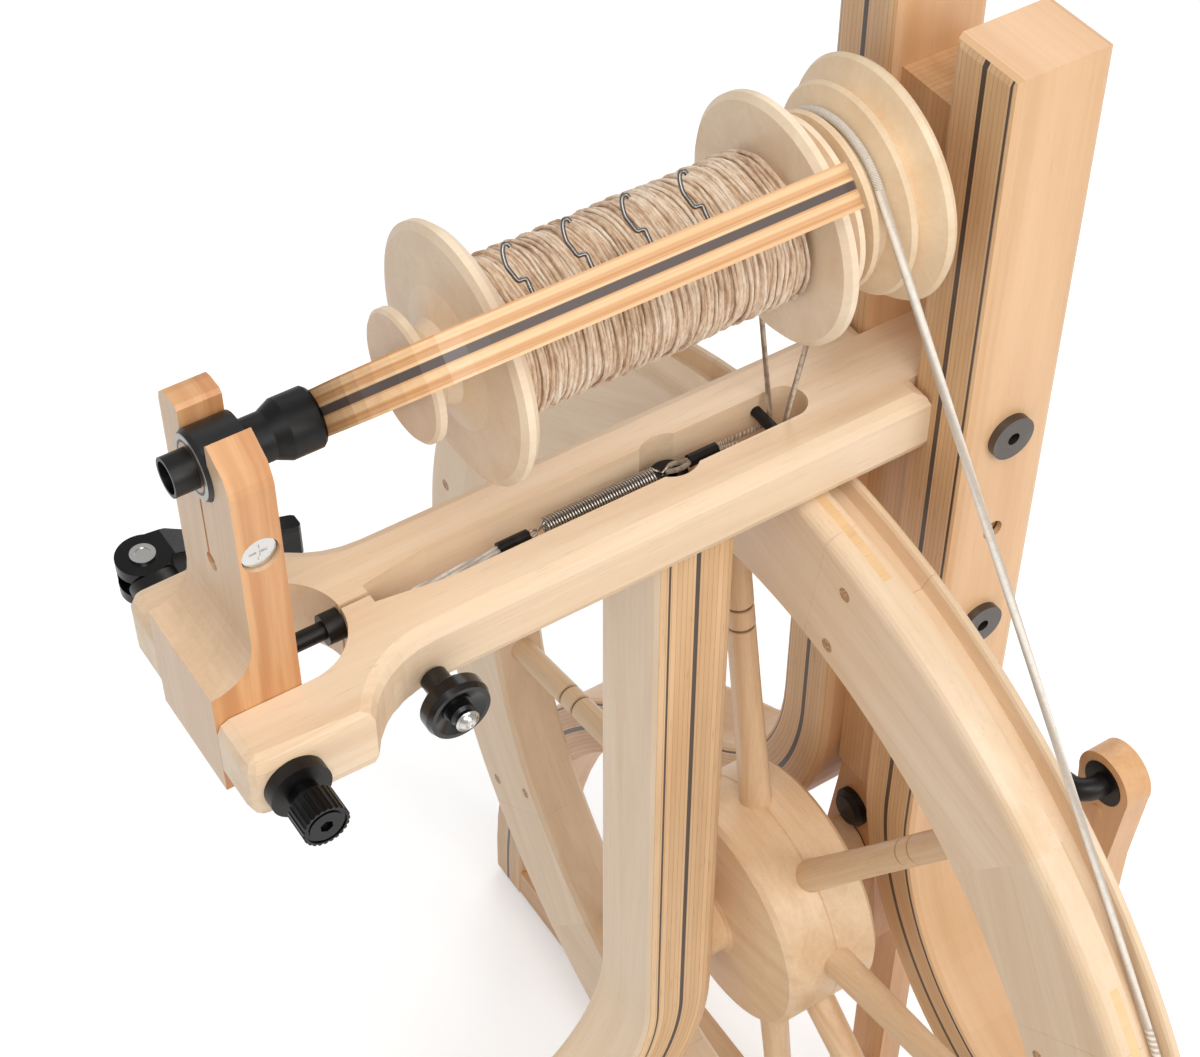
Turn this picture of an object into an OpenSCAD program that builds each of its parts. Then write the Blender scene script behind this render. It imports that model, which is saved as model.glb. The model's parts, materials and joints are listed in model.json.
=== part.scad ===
// Double treadle spinning wheel: rim wheel under a flyer, on three curved legs.
// X runs across, Y runs from the orifice to the crank, Z runs up from the floor.

/* [Frame] */
// Space between the rim and the floor
rim_low = 101.5; // [95:0.5:110]
// Width of a rear post across its laminations
post_t = 28.7; // [24:0.1:32]
// Depth of a rear post from front to back
post_w = 37.4; // [30:0.1:42]
// Space between the two rear posts
post_gap = 26.6; // [22:0.1:30]
// Centre-line radius of the upper bend of a rear leg
leg_r1 = 118; // [100:1:130]
// Centre-line radius of the lower sweep of a rear leg
leg_r2 = 341; // [320:1:360]
// Turn of each rear leg bend in degrees
leg_turn = 62.8; // [58:0.1:64]
// Width of the front post
front_w = 36.4; // [30:0.1:42]
// Thickness of the front post
front_t = 30.6; // [26:0.1:34]
// Centre-line radius of the upper bend of the front leg
front_r1 = 90; // [80:1:100]
// Centre-line radius of the lower sweep of the front leg
front_r2 = 312; // [300:1:320]
// Turn of each front leg bend in degrees
front_turn = 55; // [52:0.5:56]

/* [Wheel] */
// Outer radius of the rim
rim_r = 248.5; // [240:0.5:256]
// Depth of the rim from its outer to its inner edge
rim_deep = 55.7; // [44:0.1:66]
// Width of the rim along the axle
rim_w = 25.5; // [22:0.1:30]
// Depth of the drive groove
groove_deep = 7.5; // [5:0.5:10]
// Diameter of a spoke
spoke_d = 13; // [9:0.1:15]
// Radius of the hub
hub_r = 51; // [44:0.5:58]
// Length of the hub barrel
hub_len = 42.2; // [38:0.1:46]
// Diameter of the axle and crank rod
axle_d = 10; // [8:0.1:12]
// Throw of each crank pin
crank_throw = 42; // [34:0.5:46]

/* [Mother of all] */
// Thickness of the mother of all
moa_t = 25.4; // [22:0.1:30]
// Width of the mother of all behind the jaws
moa_w = 47.6; // [42:0.1:54]
// Width over the two jaws
jaw_w = 82.4; // [74:0.1:90]
// Width of the front maiden
maiden_w = 41.4; // [36:0.1:46]
// Thickness of the front maiden above its base
maiden_t = 13.7; // [10:0.1:16]

/* [Flyer] */
// Height of the flyer axis above the mother of all
flyer_rise = 80.6; // [78:0.1:90]
// Outer half width of the flyer
flyer_r = 60; // [57:0.1:66]
// Width of a flyer arm in the plane of the flyer
flyer_arm = 13; // [9:0.1:15]
// Thickness of the flyer board
flyer_t = 14; // [10:0.1:18]
// Turn of the flyer in degrees above level
flyer_turn = 46; // [0:1:90]
// Outside diameter of the orifice tube
tube_d = 12.3; // [11.4:0.1:14]
// Bore of the orifice
tube_bore = 10; // [8:0.1:10.6]
// Length of the bobbin
bobbin_len = 142.5; // [130:0.5:156]
// Diameter of the bobbin flanges
bobbin_d = 81.4; // [70:0.2:86]
// Diameter over the wound yarn
yarn_d = 52; // [44:0.5:62]
// Diameter of the flyer shaft
shaft_d = 6; // [5:0.1:8]

/* [Treadles] */
// Height of the treadle ends at mid stroke
treadle_mid = 78; // [74:0.5:84]
// Width of a foot board
treadle_w = 85; // [70:1:95]
// Thickness of a foot board
treadle_t = 14; // [10:0.5:16]
// Thickness of a footman
footman_t = 13; // [9:0.1:15]

/* [Hidden] */
$fn = 72;
// Clearances shared by all fits
run_gap = 0.05;
soft_gap = 0.3;
side_gap = 0.5;
slack = 2;
over = 1;

// Wheel places
axle_h = rim_low + rim_r;
rim_in_r = rim_r - rim_deep;
groove_r = rim_r - groove_deep;

// Frame places
pad_h = 6;
pad_r = 12;
edge_r = 3;
rear_gap = 23.6;
front_gap = 23.7;
post_above = 55;
post_x = post_gap / 2 + post_t / 2;
post_y0 = rim_w + rear_gap;
post_y1 = post_y0 + post_w;
post_ym = (post_y0 + post_y1) / 2;
leg_top = pad_h + (leg_r1 + leg_r2) * sin(leg_turn);
leg_out = (leg_r1 + leg_r2) * (1 - cos(leg_turn));
leg_foot_x = post_x + leg_out;
front_ym = -front_gap - front_t / 2;
front_top = pad_h + (front_r1 + front_r2) * sin(front_turn);
front_out = (front_r1 + front_r2) * (1 - cos(front_turn));
foot_y = front_ym - front_out;
foot_back = foot_y + front_t / 2;

// Mother of all
rim_clear = 2.5;
moa_z0 = axle_h + rim_r + rim_clear;
moa_z1 = moa_z0 + moa_t;
moa_zm = (moa_z0 + moa_z1) / 2;
flyer_z = moa_z1 + flyer_rise;
post_top = flyer_z + post_above;
moa_edge = 5;
jaw_len = 41.4;
flare_len = 30.2;
base_t = 28.4;
cup_len = 22.7;

// Flyer chain, worked back from the drive band
band_d = 3;
band_y = 19;
band_r = groove_r + soft_gap + band_d / 2;
whorl_lead = 7;
whorl_groove_r = 25.2;
whorl_band_r = whorl_groove_r + soft_gap + band_d / 2;
whorl_y0 = band_y - whorl_lead;
whorl_len = 24;
bobbin_y1 = whorl_y0 - slack;
bobbin_y0 = bobbin_y1 - bobbin_len;
yoke_t = 26;
yoke_y1 = bobbin_y0 - slack;
yoke_y0 = yoke_y1 - yoke_t;
flyer_len = 156;
maiden_y1 = yoke_y0 - cup_len;
maiden_y0 = maiden_y1 - maiden_t;
moa_y0 = maiden_y1 - base_t;
moa_y1 = post_y0;
bearing_lip = 4.5;
tube_y0 = maiden_y0 - 2 * bearing_lip;
bearing_r = 11;
gap_half = maiden_w / 2 + side_gap / 2;
gap_arc_y = moa_y0 + jaw_len - slack * 5;

// Bolts and hidden base
bolt_r = 4;
bolt_head_r = 8.5;
bolt_head_t = 3;
tenon_bolt_z = moa_zm;
block_above = 42;
spacer_z0 = axle_h + block_above;
spacer_z1 = moa_z0 - post_t * 0.55;
spacer_len = spacer_z1 - spacer_z0;
spacer_back = 8.9;
spacer_bolt_z = spacer_z1 - spacer_len / 3;
peg_hole_z = spacer_z1 - spacer_len / 11;
rod_z = 34;
rod_r = 4;
rod_y = foot_back + front_t * 0.78;
keel_w = 40;
keel_z0 = 8;
keel_z1 = rod_z + rod_r * 2;
cross_z1 = 28;

// Whole model in Y, so that the origin lies under the middle
crank_y1 = post_y1 + 21.5 / 86.5 * post_y1;
foot_y0 = foot_y - front_t / 2;
arm_gap = 14;
footman_l_y = crank_y1 + arm_gap;
web_y = footman_l_y + footman_t + slack * 6;
footman_r_y = web_y + axle_d + slack / 2;
pin_end = footman_r_y + footman_t + axle_d / 2;
mid_y = (foot_y0 + pin_end) / 2;

module home() {
    translate([0, -mid_y, 0]) children();
}

function arc(c, r, a0, a1, n = 4) = [for (i = [0:n]) c + r * [cos(a0 + (a1 - a0) * i / n),
    sin(a0 + (a1 - a0) * i / n)]];

function rrect(x0, y0, x1, y1, r, n = 4) = concat(arc([x1 - r, y1 - r], r, 0, 90, n),
    arc([x0 + r, y1 - r], r, 90, 180, n), arc([x0 + r, y0 + r], r, 180, 270, n),
    arc([x1 - r, y0 + r], r, 270, 360, n));

// Extrusion of an X-Z outline along Y
module along_y(y0, y1) {
    translate([0, y1, 0]) rotate([90, 0, 0]) linear_extrude(y1 - y0) children();
}

// Extrusion of a Y-Z outline along X
module along_x(x0, x1) {
    translate([x0, 0, 0]) rotate([90, 0, 90]) linear_extrude(x1 - x0) children();
}

// Turning of a radius-Y outline about Y, from angle a0 through a
module turned(a0 = 0, a = 360) {
    rotate([90, 0, 0]) rotate([0, 0, a0]) rotate_extrude(angle = a) mirror([0, 1, 0]) children();
}

module rod_along_y(r, y0, y1) {
    translate([0, y1, 0]) rotate([90, 0, 0]) cylinder(r = r, h = y1 - y0);
}

module rod_along_x(r, x0, x1) {
    translate([x0, 0, 0]) rotate([0, 90, 0]) cylinder(r = r, h = x1 - x0);
}

// Round bar between two points
module bar(p, q, r) {
    d = q - p;
    l = norm(d);
    translate(p) rotate([0, acos(d[2] / l), atan2(d[1], d[0])]) cylinder(r = r, h = l);
}

// Tube swept along a list of points as one closed body
module tube(pts, r, sides = 6) {
    n = len(pts);
    function tan_at(i) = let (d = pts[min(i + 1, n - 1)] - pts[max(i - 1, 0)]) d / norm(d);
    function side_at(i) = let (t = tan_at(i), s = cross(t, [1, 0.013, 0.027])) s / norm(s);
    ring = [for (i = [0:n - 1]) let (t = tan_at(i), s = side_at(i), w = cross(s, t))
        for (k = [0:sides - 1]) pts[i] + r * (cos(360 * k / sides) * s + sin(360 * k / sides) * w)];
    wall = [for (i = [0:n - 2], k = [0:sides - 1]) let (m = (k + 1) % sides, a = i * sides)
        each [[a + k, a + m, a + sides + m], [a + k, a + sides + m, a + sides + k]]];
    cap0 = [for (k = [1:sides - 2]) [0, k + 1, k]];
    e = (n - 1) * sides;
    cap1 = [for (k = [1:sides - 2]) [e, e + k, e + k + 1]];
    polyhedron(ring, concat(wall, cap0, cap1));
}

// Least gap between neighbouring turns of a coil with the given points per turn
function least_gap(pts, step, d) = min([for (i = [0:len(pts) - 3 - step], j = [step - 2:step + 2])
    norm(pts[i + j] - pts[i])]) - d;

// Frame

// Closed skin over rings whose second half runs back beside the first
module skin(rings) {
    n = len(rings[0]);
    m = len(rings);
    e = (m - 1) * n;
    wall = [for (i = [0:m - 2], k = [0:n - 1]) let (j = (k + 1) % n, a = i * n)
        each [[a + k, a + n + j, a + j], [a + k, a + n + k, a + n + j]]];
    caps = [for (k = [0:n / 2 - 2]) let (b = n - 2 - k)
        each [[k, k + 1, b], [k, b, b + 1], [e + k, e + b, e + k + 1], [e + k, e + b + 1, e + b]]];
    polyhedron([for (g = rings) each g], concat(wall, caps));
}

// Inset and height of each ring of a board with rounded edges
function rounding(t, e) = [[e, 0], [e * 0.3, e * 0.3], [0, e], [0, t - e], [e * 0.3, t - e * 0.3], [e, t]];

// Outline of a leg that stands upright, bends outward along +X and sweeps back to upright
function leg_outline(i, t, r1, r2, a, top) = let (h = pad_h + (r1 + r2) * sin(a),
    c1 = [r1, h], c2 = [r1 - (r1 + r2) * cos(a), pad_h]) concat([[t / 2 - i, top - i]],
    arc(c1, r1 - t / 2 + i, 180, 180 + a, 12), arc(c2, r2 + t / 2 - i, a * 15 / 16, 0, 15),
    arc(c2, r2 - t / 2 + i, 0, a, 16), arc(c1, r1 + t / 2 - i, 180 + a * 11 / 12, 180, 11),
    [[i - t / 2, top - i]]);

module curved_leg(t, y0, y1, r1, r2, a, top) {
    skin([for (g = rounding(y1 - y0, edge_r)) [for (p = leg_outline(g[0], t, r1, r2, a, top))
        [p[0], y0 + g[1], p[1]]]]);
}

module rear_leg() {
    color("burlywood") home() difference() {
        translate([post_x, 0, 0]) curved_leg(post_t, post_y0, post_y1, leg_r1, leg_r2, leg_turn, post_top);
        for (z = [tenon_bolt_z, spacer_bolt_z, peg_hole_z]) translate([0, post_ym, z])
            rod_along_x(bolt_r, -over, post_x + post_t);
    }
}

module rear_leg_right() {
    rear_leg();
}

module rear_leg_left() {
    mirror([1, 0, 0]) rear_leg();
}

module front_post() {
    color("burlywood") home() difference() {
        translate([0, front_ym, 0]) rotate([0, 0, -90])
            curved_leg(front_t, -front_w / 2, front_w / 2, front_r1, front_r2, front_turn, moa_z0);
        translate([0, 0, axle_h]) rod_along_y(race_r, -front_gap - race_len, over);
        translate([0, front_ym, moa_z0 - bolt_depth]) cylinder(r = bolt_r, h = bolt_depth + over);
    }
}
race_r = 11;
race_len = 12;
bolt_depth = 40;

module spacer_board() {
    color("tan") home() difference() {
        translate([-post_gap / 2, post_y0 + spacer_back, spacer_z0])
            cube([post_gap, post_w - 2 * spacer_back, spacer_len]);
        for (z = [spacer_bolt_z, peg_hole_z]) translate([0, post_ym, z])
            rod_along_x(bolt_r, -post_gap, post_gap);
    }
}

block_top_w = 20.8;
block_low_w = 44;
block_below = 45;

// Half the space between the rear legs at a height
function leg_in(z) = z > leg_top ? post_gap / 2
    : post_x + leg_r1 - sqrt(pow(leg_r1 + post_t / 2, 2) - pow(min(leg_top - z, leg_r1), 2));
block_zs = [for (i = [0:4]) spacer_z0 - (block_above + block_below) * i / 4];
block_half = [for (i = [0:4]) min(block_top_w / 2 + (block_low_w - block_top_w) / 2 * i / 4,
    leg_in(block_zs[i]) - slack)];
module axle_block() {
    color("sienna") home() difference() {
        along_y(post_y0 + spacer_back, post_y1 - spacer_back) polygon(concat(
            [for (i = [0:4]) [-block_half[i], block_zs[i]]],
            [for (i = [4:-1:0]) [block_half[i], block_zs[i]]]));
        translate([0, 0, axle_h]) rod_along_y(race_r, post_y0, post_y1);
        translate([0, 0, block_bolt_z]) rod_along_y(bolt_r / 2, post_y0, post_ym);
    }
}
block_bolt_z = axle_h + (race_r + bolt_head_r + slack * 2);

module block_bolt() {
    color("black") home() translate([0, 0, block_bolt_z]) turned() polygon([[0, post_y0 + slack * 2],
        [bolt_head_r - slack, post_y0 + slack * 2], [bolt_head_r, post_y0 + slack * 3],
        [bolt_head_r, post_y0 + spacer_back], [bolt_r / 2, post_y0 + spacer_back],
        [bolt_r / 2, post_ym], [0, post_ym]]);
}

module axle_bearings() {
    color("dimgray") home() translate([0, 0, axle_h]) for (y = [[-front_gap - race_len, -front_gap],
        [post_y0 + spacer_back, post_y1 - spacer_back]])
        difference() {
            rod_along_y(race_r, y[0], y[1]);
            rod_along_y(axle_d / 2 + run_gap, y[0] - over, y[1] + over);
        }
}

module side_bolts() {
    x = post_gap / 2 + post_t;
    color("dimgray") home() for (z = [tenon_bolt_z, spacer_bolt_z]) translate([0, post_ym, z]) {
        difference() {
            union() {
                rod_along_x(bolt_r, -x, x);
                for (s = [0, 1]) mirror([s, 0, 0]) rod_along_x(bolt_head_r, x, x + bolt_head_t);
            }
            for (s = [0, 1]) mirror([s, 0, 0]) rod_along_x(bolt_r * 0.6, x - bolt_head_t, x + bolt_head_t + over);
        }
    }
}

bear_block_h = 52;
module bearing_block() {
    color("tan") home() difference() {
        translate([-post_gap / 2, post_y0 + spacer_back / 2, flyer_z - bear_block_h / 2])
            cube([post_gap, post_w - spacer_back, bear_block_h]);
        translate([0, 0, flyer_z]) rod_along_y(bush_r, post_y0, post_y1);
    }
}
bush_r = 8;

module flyer_bush() {
    color("black") home() translate([0, 0, flyer_z]) difference() {
        rod_along_y(bush_r, post_y0 + spacer_back / 2, post_y1 - spacer_back / 2);
        rod_along_y(shaft_d / 2 + run_gap, post_y0, post_y1);
    }
}

// The keel and the crossbar end on the inner faces of the legs, which run in flats between the points of their arcs
function flat_depth(r, a) = r * (1 - cos(a / 16 / 2));
keel_end_r = front_r2 - front_t / 2 - flat_depth(front_r2, front_turn);
cross_end_r = leg_r2 - post_t / 2 - flat_depth(leg_r2, leg_turn);
module keel() {
    color("tan") home() difference() {
        intersection() {
            translate([-keel_w / 2, foot_y0, keel_z0]) cube([keel_w, post_y0 - foot_y0, keel_z1 - keel_z0]);
            translate([0, foot_y + front_r2, pad_h]) rod_along_x(keel_end_r, -keel_w, keel_w);
        }
        translate([0, rod_y, rod_z]) rod_along_x(rod_r, -keel_w, keel_w);
    }
}

module rear_crossbar() {
    cx = leg_foot_x - leg_r2;
    color("tan") home() intersection() {
        translate([-leg_foot_x, post_y0, keel_z0]) cube([2 * leg_foot_x, post_w, cross_z1 - keel_z0]);
        translate([cx, 0, pad_h]) rod_along_y(cross_end_r, post_y0 - over, post_y1 + over);
        translate([-cx, 0, pad_h]) rod_along_y(cross_end_r, post_y0 - over, post_y1 + over);
    }
}

module foot_pads() {
    color("black") home() for (p = [[0, foot_y], [leg_foot_x, post_ym], [-leg_foot_x, post_ym]])
        translate([p[0], p[1], 0]) cylinder(r = pad_r, h = pad_h);
}

// Mother of all

function moa_half(i) = moa_w / 2 - i;
flare_dx = (jaw_w - moa_w) / 2;
flare_r = (flare_dx * flare_dx + flare_len * flare_len) / (2 * flare_dx);
flare_y1 = moa_y0 + jaw_len + flare_len;
flare_a = asin(flare_len / flare_r);

// Half outline drawn in by i, from the tenon end to the jaw end
function moa_side(i) = concat([[moa_half(i), moa_y1 - i]],
    arc([moa_w / 2 + flare_r, flare_y1], flare_r + i, 180, 180 + flare_a, 6),
    arc([jaw_w / 2 - moa_edge, moa_y0 + moa_edge], moa_edge - i, 0, -90, 3));
function moa_outline(i) = let (h = moa_side(i), n = len(h)) concat(h,
    [for (k = [0:n - 1]) [-h[n - 1 - k][0], h[n - 1 - k][1]]]);

module moa_body() {
    skin([for (g = rounding(moa_t, moa_edge * 0.9)) [for (p = moa_outline(g[0])) [-p[0], p[1], moa_z0 + g[1]]]]);
}

slot_y0 = gap_arc_y + gap_half + slack * 5;
slot_front = 8;
slot_w = 15;
slot_taper = 24;
slot_y1 = post_y0 - 35 / 49.1 * post_y0;
peg_y = slot_y0 + slack * 3.5;
peg_z = moa_z0 + 6.5 / 25.4 * moa_t;
pin_z = moa_z0 + 18.5 / 25.4 * moa_t;
peg_pin_r = 2.5;
brake_pin_r = 2;
skewer_y = moa_y0 + base_t - maiden_t - slack / 2;
skewer_z = moa_z0 + 11.5 / 25.4 * moa_t;
skewer_r = 2.5;
bore_r = 10;
bore_floor = 9;
module mother_of_all() {
    color("wheat") home() difference() {
        union() {
            moa_body();
            translate([-post_gap / 2, moa_y1 - moa_edge - over, moa_z0])
                cube([post_gap, post_w + moa_edge + over, moa_t]);
        }
        translate([0, 0, moa_z0 - over]) linear_extrude(moa_t + 2 * over) {
            translate([-gap_half, moa_y0 - over]) square([2 * gap_half, gap_arc_y - moa_y0 + over]);
            translate([0, gap_arc_y]) circle(r = gap_half);
            translate([-slack * 0.4, gap_arc_y]) square([slack * 0.8, slot_y0 - gap_arc_y + over]);
            polygon([[-slot_front / 2, slot_y0], [slot_front / 2, slot_y0],
                [slot_w / 2, slot_y0 + slot_taper], [slot_w / 2, slot_y1 - slot_w / 2],
                [-slot_w / 2, slot_y1 - slot_w / 2], [-slot_w / 2, slot_y0 + slot_taper]]);
            translate([0, slot_y1 - slot_w / 2]) circle(r = slot_w / 2);
        }
        translate([0, front_ym, moa_z0 + bore_floor]) cylinder(r = bore_r, h = moa_t);
        translate([0, peg_y, peg_z]) rod_along_x(peg_pin_r + run_gap, -jaw_w, jaw_w);
        translate([0, brake_pin_y, pin_z]) rod_along_x(brake_pin_r, -slot_w, slot_w);
        translate([0, skewer_y, skewer_z]) rod_along_x(skewer_r, -jaw_w, jaw_w);
        translate([0, post_ym, tenon_bolt_z]) rod_along_x(bolt_r, -post_gap, post_gap);
    }
}

// The bolt bridges the slot on a washer and enters the front post
module post_bolt() {
    color("black") home() translate([0, front_ym, 0]) difference() {
        union() {
            translate([0, 0, moa_z0 - bolt_depth]) cylinder(r = bolt_r, h = bolt_depth + bore_floor);
            translate([0, 0, moa_z0 + bore_floor]) cylinder(r = bore_r - side_gap, h = slack);
            translate([0, 0, moa_z0 + bore_floor]) cylinder(r = bolt_r * 1.6, h = bolt_r * 2);
        }
        translate([0, 0, moa_z0 + bore_floor + bolt_r]) cylinder(r = bolt_r * 0.7, h = bolt_r * 2);
    }
}

// Front maiden with its open bearing clamp

base_drop = 5.5;
cove_r = base_t - maiden_t;
cove_z = moa_z1 + 25;
mouth_l = 8;
mouth_r = 8.5;
lip_t = 6;
relief_r = 3;
relief_drop = 38.5;
clamp_drop = 21.3;
module front_maiden() {
    z0 = moa_z0 - base_drop;
    h = maiden_w / 2;
    top = flyer_z + bearing_r + lip_t * 0.68;
    color("wheat") home() difference() {
        intersection() {
            along_y(moa_y0, maiden_y1) polygon(concat([[-h, z0], [h, z0], [h, flyer_z + bearing_r * 0.27],
                [h * 0.97, flyer_z + bearing_r * 0.5], [h * 0.87, flyer_z + bearing_r * 0.88],
                [mouth_r + over, top], [mouth_r, top - over], [mouth_r, flyer_z], [-mouth_l, flyer_z]],
                [[-mouth_l, top - lip_t * 0.2], [-mouth_l - lip_t * 0.2, top]],
                arc([-h + lip_t, top - lip_t], lip_t, 90, 180, 3)));
            along_x(-h, h) polygon(concat([[maiden_y1, z0], [maiden_y1, top], [maiden_y0, top]],
                [[maiden_y0, cove_z]], arc([moa_y0, cove_z], cove_r, -15, -90, 6), [[moa_y0, z0]]));
        }
        translate([0, 0, flyer_z]) rod_along_y(bearing_r, moa_y0, yoke_y0);
        translate([0, 0, flyer_z - relief_drop]) rod_along_y(relief_r, moa_y0, yoke_y0);
        translate([-slack * 0.8, moa_y0, flyer_z - relief_drop]) cube([slack * 0.6, base_t + over, relief_drop]);
        translate([0, (maiden_y0 + maiden_y1) / 2, flyer_z - clamp_drop]) {
            rod_along_x(skewer_r, -h * 0.6, h + over);
            rod_along_x(lip_t, h - slack * 2, h + over);
        }
        translate([0, skewer_y, skewer_z]) rod_along_x(skewer_r, -h - over, h + over);
        translate([0, 0, pin_z]) rod_along_y(stop_r, maiden_y1 - maiden_t, maiden_y1 + over);
    }
}

module maiden_bearing() {
    color("black") home() translate([0, 0, flyer_z]) turned() polygon([
        [tube_d / 2 + run_gap, maiden_y0 - bearing_lip / 3], [bearing_r - over, maiden_y0 - bearing_lip / 3],
        [bearing_r, maiden_y0], [bearing_r, maiden_y1], [tube_d / 2 + run_gap, maiden_y1]]);
}

module maiden_screw() {
    h = maiden_w / 2;
    color("silver") home() translate([0, (maiden_y0 + maiden_y1) / 2, flyer_z - clamp_drop]) difference() {
        union() {
            rod_along_x(skewer_r, -h * 0.6, h - slack);
            rod_along_x(lip_t - side_gap, h - slack * 2, h - slack * 0.75);
        }
        for (a = [0, 90]) rotate([a, 0, 0]) translate([h - slack, -lip_t / 2, -slack / 4])
            cube([slack, lip_t, slack / 2]);
    }
}

// The cap screw stops against the round end of the jaw gap
stop_r = 3;
module stop_screw() {
    e = gap_arc_y + gap_half - side_gap;
    color("black") home() translate([0, 0, pin_z]) difference() {
        union() {
            rod_along_y(stop_r, maiden_y1 - maiden_t, e);
            rod_along_y(stop_r * 1.7, e - stop_r * 2, e);
        }
        rod_along_y(stop_r * 0.8, e - stop_r, e + over);
    }
}

// Quick release skewer with its thrust cup and cam seat
cup_r = 10;
cup_t = 4.6;
module skewer() {
    x = jaw_w / 2;
    color("black") home() translate([0, skewer_y, skewer_z]) {
        difference() {
            rod_along_x(skewer_r, -cam_x - lever_pin_r * 1.2, x + cup_t + nut_t);
            translate([-cam_x, 0, -cup_r]) cylinder(r = lever_pin_r, h = 2 * cup_r);
        }
        rod_along_x(cup_r, x, x + cup_t);
        difference() {
            rod_along_x(cup_r * 0.8, slack - cam_x, -x);
            translate([-cam_x, 0, -cup_r]) cylinder(r = cam_r + side_gap, h = 2 * cup_r);
        }
    }
}
nut_t = 13;
nut_neck = 5.5;
nut_r = 7.6;
cam_r = 9;
seat_t = 8;
cam_x = jaw_w / 2 + seat_t + cam_r;

module knurled_nut() {
    x = jaw_w / 2 + cup_t;
    n = 24;
    m = x + nut_neck;
    e = x + nut_t + slack;
    color("black") home() translate([0, skewer_y, skewer_z]) difference() {
        union() {
            rod_along_x(cup_r * 0.5, x + side_gap, m + slack);
            rod_along_x(nut_r, m, e);
        }
        rod_along_x(skewer_r + run_gap, x, x + nut_t + slack / 2);
        difference() {
            rod_along_x(nut_r * 0.86, e - side_gap, e + over);
            rod_along_x(nut_r * 0.72, e - slack, e + 2 * over);
        }
        rotate([0, 90, 0]) cylinder(r = skewer_r * 0.9, h = e + over, $fn = 6);
        for (k = [0:n - 1]) rotate([360 / n * k, 0, 0]) translate([0, nut_r, 0])
            rod_along_x(side_gap, m - over, e + over);
    }
}

lever_len = 47;
lever_h = 14;
lever_w = 6;
lever_lean = 15;
lever_pin_r = 1.8;
rivet_r = 4.2;
module lever_pin() {
    h = lever_h / 2 + run_gap * 2;
    color("silver") home() translate([-cam_x, skewer_y, skewer_z]) {
        translate([0, 0, -h - side_gap]) cylinder(r = lever_pin_r, h = 2 * (h + side_gap));
        translate([0, 0, -h - side_gap]) cylinder(r = rivet_r, h = side_gap);
        difference() {
            translate([0, 0, h]) cylinder(r = rivet_r, h = side_gap * 1.6);
            translate([0, 0, h + side_gap]) cylinder(r = rivet_r * 0.6, h = over);
        }
    }
}

module release_lever() {
    q = skewer_r * 1.3 + side_gap;
    color("black") home() translate([-cam_x, skewer_y, skewer_z]) {
        difference() {
            translate([0, 0, -lever_h / 2]) cylinder(r = cam_r, h = lever_h);
            translate([-q, -cam_r * 2, -skewer_r - side_gap])
                cube([cam_r * 2 + q, cam_r * 2 + q, 2 * (skewer_r + side_gap)]);
            translate([0, 0, -lever_h]) cylinder(r = lever_pin_r + run_gap, h = 2 * lever_h);
        }
        intersection() {
            translate([0, 0, -lever_h / 2]) linear_extrude(lever_h)
                polygon([[-cam_r * 0.9, cam_r * 0.35], [cam_r * 0.5, cam_r * 0.8],
                    [lever_lean * 0.45, lever_len / 2], [lever_lean * 0.8, lever_len * 0.8], [lever_lean, lever_len],
                    [lever_lean - over, lever_len + over], [lever_lean - lever_w + over, lever_len + over],
                    [lever_lean - lever_w, lever_len], [lever_lean * 0.45 - lever_w * 1.1, lever_len / 2],
                    [-cam_r * 0.8, cam_r * 1.2]]);
            along_x(-3 * cam_r, 3 * cam_r) polygon([[-cam_r, -lever_h / 2], [cam_r, -lever_h / 2],
                [lever_len * 0.45, -lever_h * 0.36], [lever_len * 1.2, -lever_h * 0.5],
                [lever_len * 1.2, lever_h * 0.5], [lever_len * 0.45, lever_h * 0.36], [cam_r, lever_h / 2],
                [-cam_r, lever_h / 2]]);
        }
    }
}

// Brake

peg_r = 11;
peg_stem_r = 4.6;
peg_disc_x = moa_w / 2 + 10.2;
module brake_peg() {
    x = moa_w / 2;
    c = x + slack * 0.8;
    d = peg_disc_x;
    color("black") home() translate([0, peg_y, peg_z]) rotate([0, 0, -90]) turned() polygon([
        [0, -x], [peg_pin_r, -x], [peg_pin_r, c], [peg_stem_r, c], [peg_stem_r, d - slack],
        [peg_r * 0.8, d], [peg_r, d + slack], [peg_r, d + slack * 3], [peg_r * 0.93, d + slack * 4],
        [peg_r * 0.8, d + slack * 4], [peg_r * 0.45, d + slack * 3], [peg_r * 0.38, d + slack * 3],
        [peg_r * 0.38, d + slack * 4.5], [peg_r * 0.3, d + slack * 5], [0, d + slack * 5]]);
}

brake_y = bobbin_y1 - 6.5;
cord_d = 1.8;
brake_pin_y = brake_y - brake_pin_r - cord_d / 2 - soft_gap;
run_z = pin_z;
cord_low = pin_z - brake_pin_r - cord_d / 2 - soft_gap;
brake_groove_r = 20;
brake_r = brake_groove_r + soft_gap + cord_d / 2;
spring_d = 7;
wire_d = 0.9;
spring_y0 = brake_y - 88;
spring_y1 = brake_y - 50;
sleeve_r = 2.2;
sleeve_len = 11;
sleeve1_y = spring_y1 + 26;
sleeve0_y = spring_y0 - 8;

module brake_pin() {
    color("black") home() translate([0, brake_pin_y, pin_z])
        rod_along_x(brake_pin_r, -slot_w, slot_w);
}

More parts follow.
